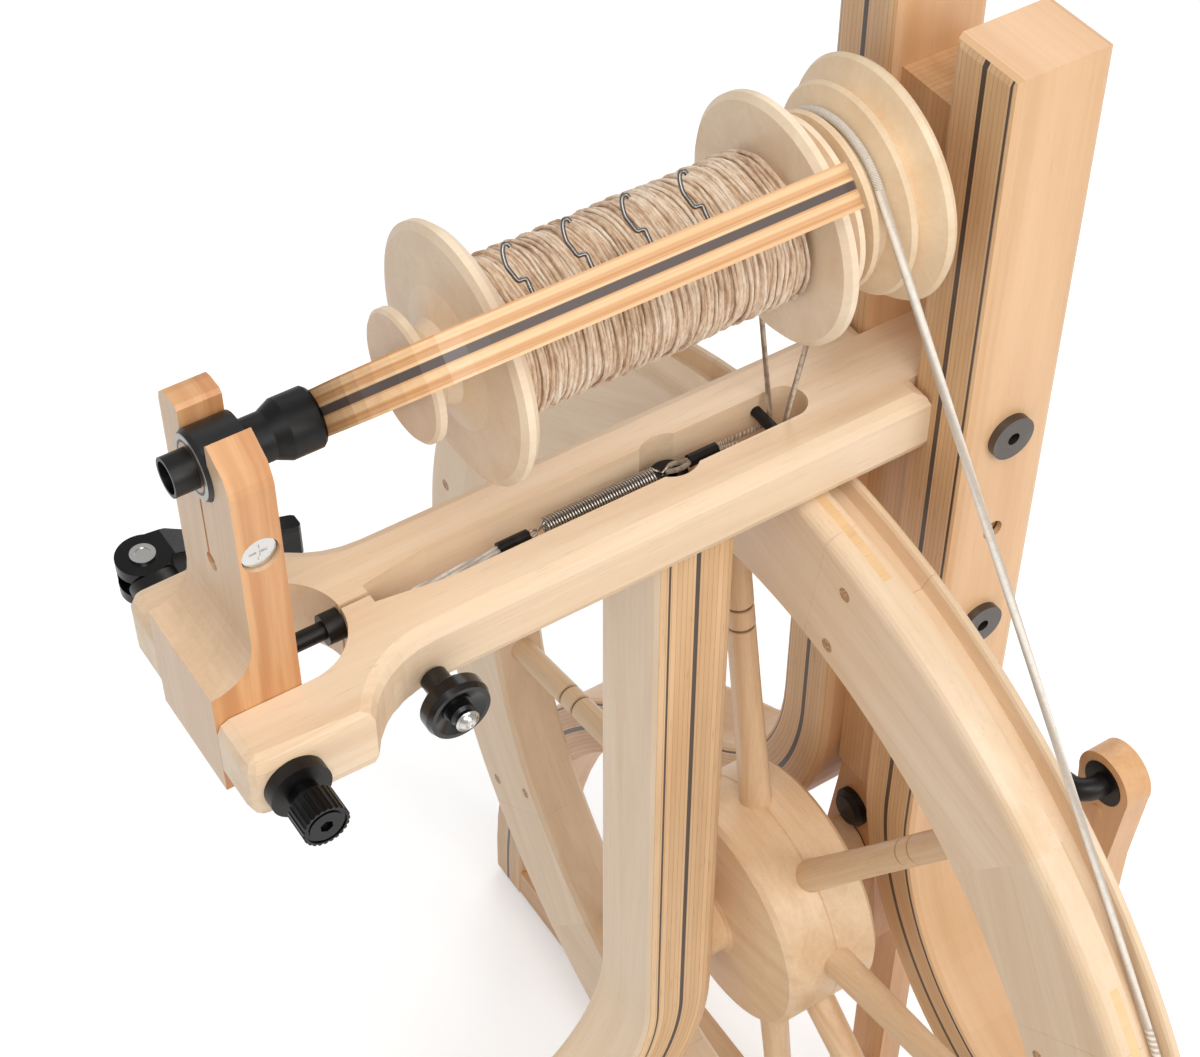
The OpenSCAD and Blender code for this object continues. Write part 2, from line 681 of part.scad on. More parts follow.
// White loop round the peg, up to its crimp sleeve
module brake_loop() {
    loop_r = peg_pin_r + cord_d / 2 + soft_gap;
    p = [0, peg_y + loop_r * 0.5, peg_z + loop_r * 0.87];
    q = [0, sleeve0_y - sleeve_len, run_z];
    color("white") home() {
        translate([0, peg_y, peg_z]) rotate([0, 0, 90]) turned() translate([loop_r, 0]) circle(r = cord_d / 2);
        translate([cord_d + soft_gap, peg_y, peg_z]) rotate([0, 0, 90]) turned()
            translate([loop_r, 0]) circle(r = cord_d / 2);
        bar(p, q, cord_d / 2);
        bar(p + [cord_d + soft_gap, 0, 0], q + [cord_d + soft_gap, 0, 0], cord_d / 2);
    }
}

curls = 28;
spring_rate = (spring_y1 - spring_y0) / curls;
spring_pts = [for (i = [0:curls * 8], r = (spring_d - wire_d) / 2)
    [r * cos(45 * i), spring_y0 + spring_rate * i / 8, r * sin(45 * i)]];
echo("spring least gap", least_gap(spring_pts, 8, wire_d));
module brake_spring() {
    r = (spring_d - wire_d) / 2;
    color("silver") home() translate([0, 0, run_z]) {
        tube(concat([[r, spring_y0 - wire_d * 2, 0]], spring_pts, [[r, spring_y1 + wire_d * 2, 0]]), wire_d / 2);
        translate([0, spring_y0 - wire_d * 2, 0]) spring_hook();
        translate([0, spring_y1 + wire_d * 2, 0]) mirror([0, 1, 0]) spring_hook();
    }
}

// Hook from the last curl to the middle
module spring_hook() {
    r = (spring_d - wire_d) / 2;
    translate([r, 0, 0]) sphere(r = wire_d * 0.6);
    bar([r, 0, 0], [0, -r * 0.6, 0], wire_d / 2);
    translate([0, -r * 0.6, 0]) sphere(r = wire_d / 2);
    bar([0, -r * 0.6, 0], [0, -r * 2, 0], wire_d / 2);
}

module cord_sleeves() {
    color("gray") home() translate([0, 0, run_z]) for (y = [sleeve0_y, sleeve1_y])
        rod_along_y(sleeve_r, y - sleeve_len, y);
}

// Tan cord from the rear sleeve, under the pin and over the bobbin groove
cord_sides = 8;
module brake_cord() {
    low = [cord_d * 2, brake_y, cord_low];
    dz = flyer_z - cord_low;
    b = atan2(dz, low[0]) - acos(brake_r / norm([low[0], dz]));
    over_top = arc([0, 0], brake_r, -b, 180 + b, 20);
    half = [[cord_d * 0.6, sleeve1_y, run_z], [cord_d * 0.62, sleeve1_y + cord_d, run_z],
        [low[0] * 0.9, brake_y - cord_d * 1.2, cord_low + cord_d * 0.2], low + [0, 0, cord_d * 0.3],
        low + [cord_d * 0.3, 0, cord_d * 1.4]];
    color("peru") home() {
        bar([0, spring_y1 + spring_d + wire_d, run_z], [0, sleeve1_y - sleeve_len, run_z], cord_d / 2);
        tube(concat(half, [for (p = over_top) [p[0], brake_y, flyer_z + p[1]]],
            [for (i = [len(half) - 1:-1:0]) [-half[i][0], half[i][1], half[i][2]]]), cord_d / 2, cord_sides);
    }
}

// Wheel

seg_n = 8;
seg_a = 360 / seg_n;
seg_turn = 81.8;
seam = 0.1;
seam_a = seam / rim_r * 180 / PI;
ridge_turn = 75.4;
spoke_turn = 100.4;
seam_turn = 37;
spoke_y = 13.4;
layer_y = 17;
ridge_r = rim_r - over;
round_r = 5;
tenon_r = 4.5;
tenon_len = 14;
dowel_r = 2.75;
dowel_len = 8;
dowel_a = 3.3;
dowel_rs = [rim_in_r + 9.2, rim_r - 14.5];
spline_a = 5.2;
spline_t = 3.4;
spline_y = 8.4;
spline_deep = 9;

module rim_front_profile() {
    polygon(concat([[rim_in_r, slack], [rim_in_r + slack, 0]],
        arc([rim_r - round_r, round_r], round_r, -90, 0, 5),
        [[rim_r, band_y - whorl_lead], [groove_r, band_y - slack * 1.5], [groove_r, layer_y],
        [rim_in_r, layer_y]]));
}

module rim_back_profile() {
    polygon([[rim_in_r, layer_y], [groove_r, layer_y], [groove_r, band_y + slack * 0.9],
        [ridge_r - over, band_y + slack * 1.5], [ridge_r, band_y + slack * 1.9], [ridge_r, rim_w - over],
        [ridge_r - over, rim_w], [rim_in_r + slack, rim_w], [rim_in_r, rim_w - slack]]);
}

// Spoke tenons in the X-Z plane, pointing out from the axle
module tenons(r, r0, r1) {
    for (k = [0:seg_n - 1]) rotate([0, -spoke_turn - seg_a * k, 0])
        translate([0, spoke_y, 0]) rotate([seam_turn, 0, 0]) rod_along_x(r, r0, r1);
}

module dowel_set(k, r, y0, y1) {
    for (q = dowel_rs) rotate([0, dowel_a - seg_turn - seg_a * k, 0]) translate([q, 0, 0]) rod_along_y(r, y0, y1);
}

module rim_segment(k) {
    a0 = seg_turn + seg_a * (k - 1);
    color("wheat") home() translate([0, 0, axle_h]) difference() {
        turned(a0 + seam_a / 2, seg_a - seam_a) rim_front_profile();
        rotate([0, -spoke_turn - seg_a * spoke_pick(k), 0]) translate([0, spoke_y, 0])
            rod_along_x(tenon_r, rim_in_r - over, rim_in_r + tenon_len);
        dowel_set(k, dowel_r, -over, dowel_len);
        for (j = [k - 1, k]) spline_cut(j);
    }
}
function spoke_pick(k) = k - 1;

module spline_cut(k) {
    a0 = seg_turn + seg_a * k - spline_a;
    turned(a0, 2 * spline_a) polygon([[rim_r - spline_deep, spline_y - spline_t / 2],
        [rim_r + over, spline_y - spline_t / 2], [rim_r + over, spline_y + spline_t / 2],
        [rim_r - spline_deep, spline_y + spline_t / 2]]);
}

module rim_segment_1() { rim_segment(1); }
module rim_segment_2() { rim_segment(2); }
module rim_segment_3() { rim_segment(3); }
module rim_segment_4() { rim_segment(4); }
module rim_segment_5() { rim_segment(5); }
module rim_segment_6() { rim_segment(6); }
module rim_segment_7() { rim_segment(7); }
module rim_segment_8() { rim_segment(8); }

module rim_back() {
    color("wheat") home() translate([0, 0, axle_h]) for (k = [0:seg_n - 1]) difference() {
        turned(ridge_turn + seg_a * k + seam_a / 2, seg_a - seam_a) rim_back_profile();
        rotate([0, -spoke_turn - seg_a * k, 0]) translate([0, spoke_y, 0])
            rod_along_x(tenon_r, rim_in_r - over, rim_in_r + tenon_len);
    }
}

module rim_dowels() {
    color("tan") home() translate([0, 0, axle_h]) for (k = [0:seg_n - 1]) dowel_set(k, dowel_r, 0, dowel_len);
}

module rim_splines() {
    color("goldenrod") home() translate([0, 0, axle_h]) for (k = [0:seg_n - 1])
        turned(seg_turn + seg_a * k - spline_a, 2 * spline_a)
            polygon([[rim_r - spline_deep, spline_y - spline_t / 2], [rim_r, spline_y - spline_t / 2],
                [rim_r, spline_y + spline_t / 2], [rim_r - spline_deep, spline_y + spline_t / 2]]);
}

hub_seat = 18;
ring_rs = [140.8 / 192.8, 150.7 / 192.8] * rim_in_r;
ring_w = 1.2;
module spoke() {
    r = spoke_d / 2;
    r0 = hub_r - hub_seat;
    polygon(concat([[0, r0], [r, r0], [r, hub_r + slack], [r * 0.9, (hub_r + rim_in_r) * 0.42]],
        [for (g = ring_rs) each [[r * 0.88, g - ring_w], [r * 0.76, g - ring_w * 0.3],
        [r * 0.76, g + ring_w * 0.3], [r * 0.88, g + ring_w]]],
        [[r * 0.88, rim_in_r], [tenon_r, rim_in_r], [tenon_r, rim_in_r + tenon_len],
        [0, rim_in_r + tenon_len]]));
}

module spokes() {
    color("burlywood") home() translate([0, 0, axle_h]) for (k = [0:seg_n - 1])
        rotate([0, -spoke_turn - seg_a * k, 0]) translate([0, spoke_y, 0])
            rotate([0, 90, 0]) rotate_extrude() spoke();
}

hub_y0 = spoke_y - 22.4 / 42.2 * hub_len;
hub_y1 = hub_y0 + hub_len;
nose_r = 14;
nose_gap = 0.6;
module hub_cut() {
    tenons(spoke_d / 2, hub_r - hub_seat, hub_r + slack * 4);
}

module hub_front() {
    color("burlywood") home() translate([0, 0, axle_h]) difference() {
        turned() polygon([[axle_d / 2, -front_gap + nose_gap], [nose_r * 0.8, -front_gap + nose_gap],
            [nose_r, -front_gap + slack * 2], [nose_r, hub_y0 - slack * 2.5], [nose_r + slack, hub_y0 - slack * 2],
            [hub_r * 0.7, hub_y0 - slack], [hub_r - slack, hub_y0], [hub_r, hub_y0 + slack],
            [hub_r, spoke_y - side_gap], [hub_r - side_gap, spoke_y], [axle_d / 2, spoke_y]]);
        hub_cut();
    }
}

module hub_rear() {
    color("burlywood") home() translate([0, 0, axle_h]) difference() {
        turned() polygon([[axle_d / 2, spoke_y], [hub_r - side_gap, spoke_y], [hub_r, spoke_y + side_gap],
            [hub_r, hub_y1 - slack], [hub_r - slack, hub_y1], [nose_r * 1.6, hub_y1 + slack],
            [nose_r, hub_y1 + slack * 2], [nose_r * 0.8, post_y0 + spacer_back - nose_gap],
            [axle_d / 2, post_y0 + spacer_back - nose_gap]]);
        hub_cut();
    }
}

crank_turn = 16;
bend_r = 8;
module crank_axle() {
    r = axle_d / 2;
    t = crank_throw;
    b = bend_r;
    color("dimgray") home() translate([0, 0, axle_h]) rotate([0, -crank_turn, 0]) {
        rod_along_y(r, side_gap - front_gap - race_len, crank_y1 - b);
        translate([-b, crank_y1 - b, 0]) elbow(0);
        rod_along_x_at(crank_y1, b - t, -b);
        translate([b - t, crank_y1 + b, 0]) elbow(180);
        translate([-t, 0, 0]) rod_along_y(r, crank_y1 + b, web_y - b);
        translate([b - t, web_y - b, 0]) elbow(90);
        rod_along_x_at(web_y, b - t, t - b);
        translate([t - b, web_y + b, 0]) elbow(270);
        translate([t, 0, 0]) rod_along_y(r, web_y + b, pin_end);
    }
}

// Quarter bend of the rod in the X-Y plane, from angle a
module elbow(a) {
    rotate([0, 0, a]) rotate_extrude(angle = 90) translate([bend_r, 0]) circle(r = axle_d / 2);
}

module rod_along_x_at(y, x0, x1) {
    translate([0, y, 0]) rod_along_x(axle_d / 2, x0, x1);
}

footman_w = 22;
footman_head = 15;
eye_r = 9;
footman_l = axle_h - treadle_mid;
module footman_body(y) {
    color("burlywood") difference() {
        along_y(y, y + footman_t) union() {
            circle(r = footman_head);
            polygon([[-footman_head * 0.97, -footman_head * 0.25], [footman_head * 0.97, -footman_head * 0.25],
                [footman_w / 2, -footman_head * 3], [footman_w / 2, -footman_l],
                [-footman_w / 2, -footman_l], [-footman_w / 2, -footman_head * 3]]);
            translate([0, -footman_l]) circle(r = footman_w / 2);
        }
        rod_along_y(eye_r, y - over, y + footman_t + over);
        translate([0, 0, -footman_l]) rod_along_y(rod_r, y - over, y + footman_t + over);
        translate([0, 0, -eye_r * 2.1]) rod_along_y(screw_r, y - over, y + slack);
    }
    color("silver") translate([0, 0, -eye_r * 2.1]) rod_along_y(screw_r, y - side_gap, y + slack);
}
screw_r = 3.2;

module bush(y) {
    color("black") difference() {
        union() {
            rod_along_y(eye_r, y, y + footman_t);
            rod_along_y(eye_r + slack * 0.8, y - side_gap, y);
            rod_along_y(eye_r + slack * 0.8, y + footman_t, y + footman_t + side_gap);
        }
        rod_along_y(axle_d / 2 + run_gap, y - over, y + footman_t + over);
    }
}

module left_pin() {
    home() translate([-crank_throw * cos(crank_turn), 0, axle_h - crank_throw * sin(crank_turn)]) children();
}

module right_pin() {
    home() translate([crank_throw * cos(crank_turn), 0, axle_h + crank_throw * sin(crank_turn)]) children();
}

module footman_left() { left_pin() footman_body(footman_l_y); }
module footman_right() { right_pin() footman_body(footman_r_y); }
module bush_left() { left_pin() bush(footman_l_y); }
module bush_right() { right_pin() bush(footman_r_y); }

// Treadles, drawn flat about their rod and then tilted to the crank's place

treadle_x0 = keel_w / 2 + slack * 3;
arm_t = 10;
arm_w = 20;
barrel_r = 8;
pad_len = 150;
pin_x = crank_throw * cos(crank_turn);
left_reach = footman_l_y - slack - rod_y;
right_reach = footman_r_y - slack - rod_y;
left_tilt = asin((treadle_mid - crank_throw * sin(crank_turn) - rod_z) / left_reach);
stud_r = 3;
stud_y = right_reach - stud_r - side_gap;
right_tilt = asin((treadle_mid + crank_throw * sin(crank_turn) - rod_z) / stud_y);
side_arm_x = crank_throw + footman_head + slack * 2;

module pad_shape() {
    polygon(rrect(treadle_x0, -barrel_r, treadle_x0 + treadle_w, pad_len, slack * 4));
}

module treadle_board() {
    difference() {
        union() {
            translate([0, 0, -treadle_t / 2]) linear_extrude(treadle_t) difference() {
                pad_shape();
                translate([0, -barrel_r * 2]) square([treadle_x0 * 3 + treadle_w, barrel_r * 2]);
            }
            rod_along_x(barrel_r, treadle_x0, treadle_x0 + treadle_w);
        }
        rod_along_x(rod_r + run_gap, 0, treadle_x0 + treadle_w + over);
    }
}

module treadle_left() {
    color("burlywood") home() translate([0, rod_y, rod_z]) rotate([left_tilt, 0, 0]) mirror([1, 0, 0]) union() {
        treadle_board();
        translate([0, 0, -arm_t / 2]) linear_extrude(arm_t) {
            polygon([[pin_x - arm_w / 2, pad_len - slack], [pin_x - arm_w / 2, left_reach - arm_w / 2],
                [pin_x + arm_w / 2, left_reach - arm_w / 2], [pin_x + arm_w / 2, pad_len + arm_w],
                [treadle_x0 + treadle_w * 0.7, pad_len - slack]]);
            translate([pin_x, left_reach - arm_w / 2]) circle(r = arm_w / 2);
        }
    }
}

module treadle_right() {
    x0 = side_arm_x;
    x1 = side_arm_x + arm_w;
    y1 = right_reach;
    color("burlywood") home() translate([0, rod_y, rod_z]) rotate([right_tilt, 0, 0]) union() {
        treadle_board();
        translate([0, 0, -arm_t / 2]) linear_extrude(arm_t) {
            polygon([[x0 - arm_w / 2, pad_len - slack], [x0, pad_len + arm_w], [x0, y1 - stud_r],
                [x0 + stud_r, y1], [x1 - stud_r, y1], [x1, y1 - stud_r], [x1, pad_len + arm_w],
                [x1 + arm_w / 3, pad_len - slack]]);
        }
        translate([0, stud_y, 0]) rod_along_x(stud_r, pin_x - stud_r * 2, x0 + arm_w / 2);
    }
}

module treadle_rod() {
    e = treadle_x0 + treadle_w + slack / 2;
    color("dimgray") home() translate([0, rod_y, rod_z]) {
        rod_along_x(rod_r, -e, e);
        for (s = [0, 1]) mirror([s, 0, 0]) {
            rod_along_x(rod_r * 1.75, e, e + rod_r * 1.2);
            rod_along_x(rod_r * 1.6, keel_w / 2, treadle_x0 - side_gap);
        }
    }
}

// Drive band round the rim and the whorl groove

module drive_band() {
    rise = flyer_z - axle_h;
    b = asin((band_r - whorl_band_r) / rise);
    wheel_arc = arc([0, 0], band_r + run_gap * 2, 180 - b, 360 + b, 64);
    whorl_arc = arc([0, rise], whorl_band_r + run_gap, b, 180 - b, 10);
    color("white") home() translate([0, band_y, axle_h]) loop([for (p = concat(wheel_arc, whorl_arc))
        [p[0], 0, p[1]]], band_d / 2, cord_sides);
}

// Closed tube through points in one X-Z plane
module loop(pts, r, sides) {
    n = len(pts);
    ring = [for (i = [0:n - 1]) let (d = pts[(i + 1) % n] - pts[(i + n - 1) % n], t = d / norm(d),
        w = cross(t, [0, 1, 0])) for (k = [0:sides - 1])
            pts[i] + r * (cos(360 * k / sides) * w + sin(360 * k / sides) * [0, 1, 0])];
    wall = [for (i = [0:n - 1], k = [0:sides - 1]) let (m = (k + 1) % sides, a = i * sides,
        c = ((i + 1) % n) * sides) each [[a + k, c + m, a + m], [a + k, c + k, c + m]]];
    polyhedron(ring, wall);
}

// Flyer

fork_r = 34;
module flyer() {
    o = flyer_r;
    i = flyer_r - flyer_arm;
    r = fork_r;
    y1 = yoke_y0 + flyer_len;
    color("burlywood") home() translate([0, 0, flyer_z]) rotate([0, -flyer_turn, 0]) difference() {
        translate([0, 0, -flyer_t / 2]) linear_extrude(flyer_t) {
            difference() {
                polygon(concat([[o, y1 - flyer_arm / 2], [-o, y1 - flyer_arm / 2]],
                    arc([-o + r, yoke_y0 + r], r, 180, 270, 8), arc([o - r, yoke_y0 + r], r, 270, 360, 8)));
                polygon(concat([[i, y1], [-i, y1]],
                    arc([-i + r * 0.7, yoke_y1 + r * 0.7], r * 0.7, 180, 270, 8),
                    arc([i - r * 0.7, yoke_y1 + r * 0.7], r * 0.7, 270, 360, 8)));
            }
            for (s = [-1, 1]) translate([s * (o + i) / 2, y1 - flyer_arm / 2]) circle(r = flyer_arm / 2);
        }
        rod_along_y(tube_d / 2, yoke_y0 - over, yoke_y1 + over);
    }
}

// Steel tube with its orifice, and the shaft that carries bobbin and whorl
shaft_end = post_y1 - spacer_back / 2;
exit_r = 3.6;
module orifice_tube() {
    color("silver") home() translate([0, 0, flyer_z]) difference() {
        union() {
            rod_along_y(tube_d / 2, tube_y0, yoke_y1);
            rod_along_y(shaft_d / 2, yoke_y1, shaft_end);
        }
        rod_along_y(tube_bore / 2, tube_y0 - over, yoke_y0 - slack);
        rotate([0, -flyer_turn, 0]) translate([0, exit_y, 0]) rod_along_x(exit_r, -tube_d, 0);
    }
}
exit_y = yoke_y0 - slack * 3.5;

module flyer_cup() {
    r = tube_d / 2;
    color("black") home() translate([0, 0, flyer_z]) difference() {
        turned() polygon([[r, maiden_y1 + side_gap], [r + slack * 0.6, maiden_y1 + side_gap],
            [r + slack * 0.6, maiden_y1 + cup_len * 0.35], [r + slack * 1.6, maiden_y1 + cup_len * 0.55],
            [r + slack * 1.6, yoke_y0 - slack / 2], [r + slack * 1.2, yoke_y0], [r, yoke_y0]]);
        rotate([0, -flyer_turn, 0]) translate([0, exit_y, 0]) rod_along_x(exit_r, -2 * tube_d, 0);
    }
}

hook_rows = 4;
hook_r = 3.6;
hook_wire = 0.8;
hook_y0 = yoke_y0 + 43;
hook_step = 18;
module flyer_hooks() {
    u = flyer_r - flyer_arm / 2;
    color("silver") home() translate([0, 0, flyer_z]) rotate([0, -flyer_turn, 0])
        for (k = [0:hook_rows - 1]) translate([u, hook_y0 + hook_step * k, flyer_t / 2]) {
            translate([0, 0, hook_r]) rotate([0, 0, 90]) turned(-60, 290) translate([hook_r, 0])
                circle(r = hook_wire);
        }
}

whorl_rs = [29, 34.8, 40.3];
module flyer_whorl() {
    y = whorl_y0;
    g = band_y;
    w = whorl_lead;
    s = (whorl_len - w) / 4;
    color("wheat") home() translate([0, 0, flyer_z]) turned() polygon([[shaft_d / 2, y],
        [whorl_rs[0] * 0.6, y], [whorl_rs[0] * 0.97, y + w * 0.2], [whorl_rs[0], y + w * 0.35],
        [whorl_rs[0] * 0.98, y + w * 0.5], [whorl_groove_r, g - band_d / 2 - run_gap],
        [whorl_groove_r, g + band_d / 2], [whorl_rs[1] - slack / 2, g + s], [whorl_rs[1], g + s * 1.3],
        [whorl_rs[1] - slack / 2, g + s * 1.6], [whorl_rs[1] * 0.87, g + s * 2.3],
        [whorl_rs[2] - slack / 2, g + s * 3.2], [whorl_rs[2], g + s * 3.6], [whorl_rs[2] - slack / 2, g + s * 4],
        [shaft_d / 2, g + s * 4]]);
}

// Bobbin: front disc, neck, two flanges and the brake groove
flange_t = 4.5;
front_flange = 17.7;
disc_share = 0.51;
core_r = 9;
module bobbin() {
    y0 = bobbin_y0;
    y1 = bobbin_y1;
    f = y0 + front_flange;
    R = bobbin_d / 2;
    b = shaft_d / 2 + run_gap;
    color("wheat") home() translate([0, 0, flyer_z]) turned() polygon([[b, y0], [R * disc_share * 0.95, y0],
        [R * disc_share, y0 + flange_t * 0.2], [R * disc_share, y0 + flange_t * 0.7],
        [R * disc_share * 0.9, y0 + flange_t * 0.9], [R * 0.34, y0 + flange_t * 1.1],
        [R * 0.29, y0 + flange_t * 1.9], [R * 0.33, y0 + flange_t * 2.8], [R * 0.55, f - flange_t * 0.55],
        [R * 0.94, f - flange_t * 0.3], [R, f], [R, f + flange_t * 0.5], [R * 0.95, f + flange_t],
        [core_r, f + flange_t], [core_r, brake_y - flange_t * 2], [R * 0.95, brake_y - flange_t * 2],
        [R, brake_y - flange_t * 1.6], [R, brake_y - flange_t * 1.1], [R * 0.94, brake_y - flange_t * 0.85],
        [brake_groove_r, brake_y - cord_d / 2], [brake_groove_r, brake_y + cord_d / 2],
        [R * 0.73, y1 - flange_t * 0.6], [R * 0.735, y1 - flange_t * 0.2], [R * 0.7, y1], [b, y1]]);
}

// Wound yarn: one tube in close turns on the core
yarn_turns = 18;
yarn_y0 = bobbin_y0 + front_flange + flange_t + soft_gap;
yarn_y1 = brake_y - flange_t * 2 - soft_gap;
yarn_rate = (yarn_y1 - yarn_y0) / (yarn_turns + 1);
yarn_t = yarn_rate - 1.2 * side_gap;
yarn_pts = [for (i = [0:yarn_turns * 24], r = (yarn_d - yarn_t) / 2)
    [r * cos(15 * i), yarn_y0 + yarn_rate * (i / 24 + 0.5), r * sin(15 * i)]];
echo("yarn least gap", least_gap(yarn_pts, 24, yarn_t));
module yarn() {
    r = (yarn_d - yarn_t) / 2;
    color("rosybrown") home() translate([0, 0, flyer_z]) {
        difference() {
            rod_along_y(r - yarn_t / 2 - run_gap, yarn_y0, yarn_y1);
            rod_along_y(core_r + run_gap, yarn_y0 - over, yarn_y1 + over);
        }
        tube(yarn_pts, yarn_t / 2);
    }
}

front_post();
rear_leg_left();
rear_leg_right();
mother_of_all();
spacer_board();
axle_block();
axle_bearings();
side_bolts();
bearing_block();
flyer_bush();
keel();
rear_crossbar();
foot_pads();
treadle_rod();
front_maiden();
maiden_bearing();
maiden_screw();
stop_screw();
skewer();
post_bolt();
block_bolt();
brake_pin();
brake_loop();
brake_spring();
brake_cord();
cord_sleeves();
drive_band();
rim_segment_1();
rim_segment_2();
rim_segment_3();
rim_segment_4();
rim_segment_5();
rim_segment_6();
rim_segment_7();
rim_segment_8();
rim_back();
rim_dowels();
rim_splines();
spokes();
hub_front();
hub_rear();
crank_axle();
footman_left();
footman_right();
bush_left();
bush_right();
treadle_left();
treadle_right();
flyer();
orifice_tube();
flyer_cup();
flyer_hooks();
flyer_whorl();
bobbin();
yarn();
release_lever();
lever_pin();
knurled_nut();
brake_peg();
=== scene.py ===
"""Dresses the double treadle spinning wheel: wood, metal, yarn, cords, light and camera."""

import json

from math import acos, asin, atan2, cos, hypot, pi, radians, sin

import bmesh
import bpy
from mathutils import Matrix, Vector, noise


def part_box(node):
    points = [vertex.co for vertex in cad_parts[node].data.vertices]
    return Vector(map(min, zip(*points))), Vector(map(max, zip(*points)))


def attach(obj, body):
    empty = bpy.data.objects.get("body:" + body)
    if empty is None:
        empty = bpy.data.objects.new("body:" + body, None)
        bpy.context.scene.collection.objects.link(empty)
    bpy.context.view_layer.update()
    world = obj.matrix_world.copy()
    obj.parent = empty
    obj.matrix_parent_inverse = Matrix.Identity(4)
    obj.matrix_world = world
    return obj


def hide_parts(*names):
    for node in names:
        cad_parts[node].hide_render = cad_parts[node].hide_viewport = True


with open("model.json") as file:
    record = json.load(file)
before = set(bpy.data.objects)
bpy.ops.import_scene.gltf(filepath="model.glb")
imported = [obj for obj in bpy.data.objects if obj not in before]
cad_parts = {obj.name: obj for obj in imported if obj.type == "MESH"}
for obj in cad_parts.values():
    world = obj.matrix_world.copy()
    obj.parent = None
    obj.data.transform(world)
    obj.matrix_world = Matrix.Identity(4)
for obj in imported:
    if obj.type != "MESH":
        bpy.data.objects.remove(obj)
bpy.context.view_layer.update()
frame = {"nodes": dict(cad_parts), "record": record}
JOINTS = {j["name"]: j for j in frame["record"]["behaviour"]["joints"]}
WHEEL = Vector(JOINTS["wheel_spin"]["pos_m"])
FLYER = Vector(JOINTS["flyer_spin"]["pos_m"])
PEG = Vector(JOINTS["brake_peg_turn"]["pos_m"])
FLYER_TURN = radians(46)
RIM_BOARDS = 8
HOOKS = 4

bl_info = {
    "name": "Double treadle spinning wheel",
    "version": (1, 0, 0),
    "blender": (4, 5, 0),
    "location": "3D View > Sidebar > Wheel",
    "description": "Finishes the woods and metals, winds the yarn and strings the cords of a spinning wheel",
    "category": "Object",
}


# Materials


def tone(red, green, blue):
    """A colour as it is read off a picture, from 0 to 255, as the shader's linear colour."""
    return tuple(
        (c / 255 / 12.92 if c < 10.3 else ((c / 255 + 0.055) / 1.055) ** 2.4) for c in (red, green, blue)
    ) + (1.0,)


def dimmed(colour, share):
    """A darker tone of a colour, still solid."""
    return tuple(c * share for c in colour[:3]) + (1.0,)


class Wire:
    """A socket of a material's nodes. Sums of wires and numbers add their Math nodes."""

    def __init__(self, tree, socket=None):
        self.tree = tree
        self.socket = socket

    def node(self, kind, settings=None, links=None, out=0):
        """Adds a node: its settings first, then the values or wires of its sockets."""
        made = self.tree.nodes.new(kind)
        for name, value in (settings or {}).items():
            if name == "stops":
                ramp = made.color_ramp.elements
                ramp.remove(ramp[-1])
                for i, (at, colour) in enumerate(value):
                    stop = ramp[0] if i == 0 else ramp.new(at)
                    stop.position = at
                    stop.color = colour
            else:
                setattr(made, name, value)
        for name, value in (links or {}).items():
            if isinstance(value, Wire):
                self.tree.links.new(value.socket, made.inputs[name])
            else:
                made.inputs[name].default_value = value
        return Wire(self.tree, made.outputs[out])

    def of(self, out):
        """Another output of the same node."""
        return Wire(self.tree, self.socket.node.outputs[out])

    def split(self, out):
        """The X, Y and Z of one output of the texture coordinates."""
        place = self.node("ShaderNodeTexCoord", out=out)
        parts = place.node("ShaderNodeSeparateXYZ", {}, {0: place})
        return {axis: parts.of(axis) for axis in "XYZ"}

    def sums(self, operation, *values):
        """A Math node over wires and numbers."""
        return self.node("ShaderNodeMath", {"operation": operation}, dict(enumerate(values)))

    def __add__(self, other):
        return self.sums("ADD", self, other)

    __radd__ = __add__

    def __sub__(self, other):
        return self.sums("SUBTRACT", self, other)

    def __rsub__(self, other):
        return self.sums("SUBTRACT", other, self)

    def __mul__(self, other):
        return self.sums("MULTIPLY", self, other)

    __rmul__ = __mul__

    def __truediv__(self, other):
        return self.sums("DIVIDE", self, other)

    def __gt__(self, other):
        return self.sums("GREATER_THAN", self, other)

    def __lt__(self, other):
        return self.sums("LESS_THAN", self, other)

    def __abs__(self):
        return self.sums("ABSOLUTE", self)

    def either(self, other):
        """The larger of two masks."""
        return self.sums("MAXIMUM", self, other)

    def far(self, other):
        """Length of the arrow whose sides are this wire and another."""
        return self.sums("SQRT", self * self + other * other)

    def angle(self, up):
        """Angle of the arrow whose sides are this wire and up, in radians."""
        return self.sums("ARCTAN2", up, self)

    def floor(self):
        return self.sums("FLOOR", self)

    def fract(self):
        return self.sums("FRACT", self)

    def within(self, low, high):
        """0 at low and 1 at high, smooth between."""
        return self.node("ShaderNodeMapRange", {"interpolation_type": "SMOOTHSTEP"},
                         {"Value": self, "From Min": low, "From Max": high})

    def mix(self, a, b):
        """Colour a where this is 0 and b where it is 1."""
        return self.node("ShaderNodeMix", {"data_type": "RGBA"}, {0: self, 6: a, 7: b}, 2)

    def noise(self, u, v, w, detail=3.0, rough=0.5, bend=0.0):
        """Noise over three wires that are already scaled."""
        place = self.node("ShaderNodeCombineXYZ", {}, {0: u, 1: v, 2: w})
        return self.node("ShaderNodeTexNoise", {}, {"Vector": place, "Scale": 1.0, "Detail": detail,
                                                    "Roughness": rough, "Distortion": bend})

    def dice(self):
        """A random number from 0 to 1 for each whole value of this wire."""
        return self.node("ShaderNodeTexWhiteNoise", {"noise_dimensions": "1D"}, {"W": self})


def begin(name):
    """A new material and the wires of its object coordinates, in metres."""
    material = bpy.data.materials.new(name)
    material.use_nodes = True
    return material, *Wire(material.node_tree).split("Object").values()


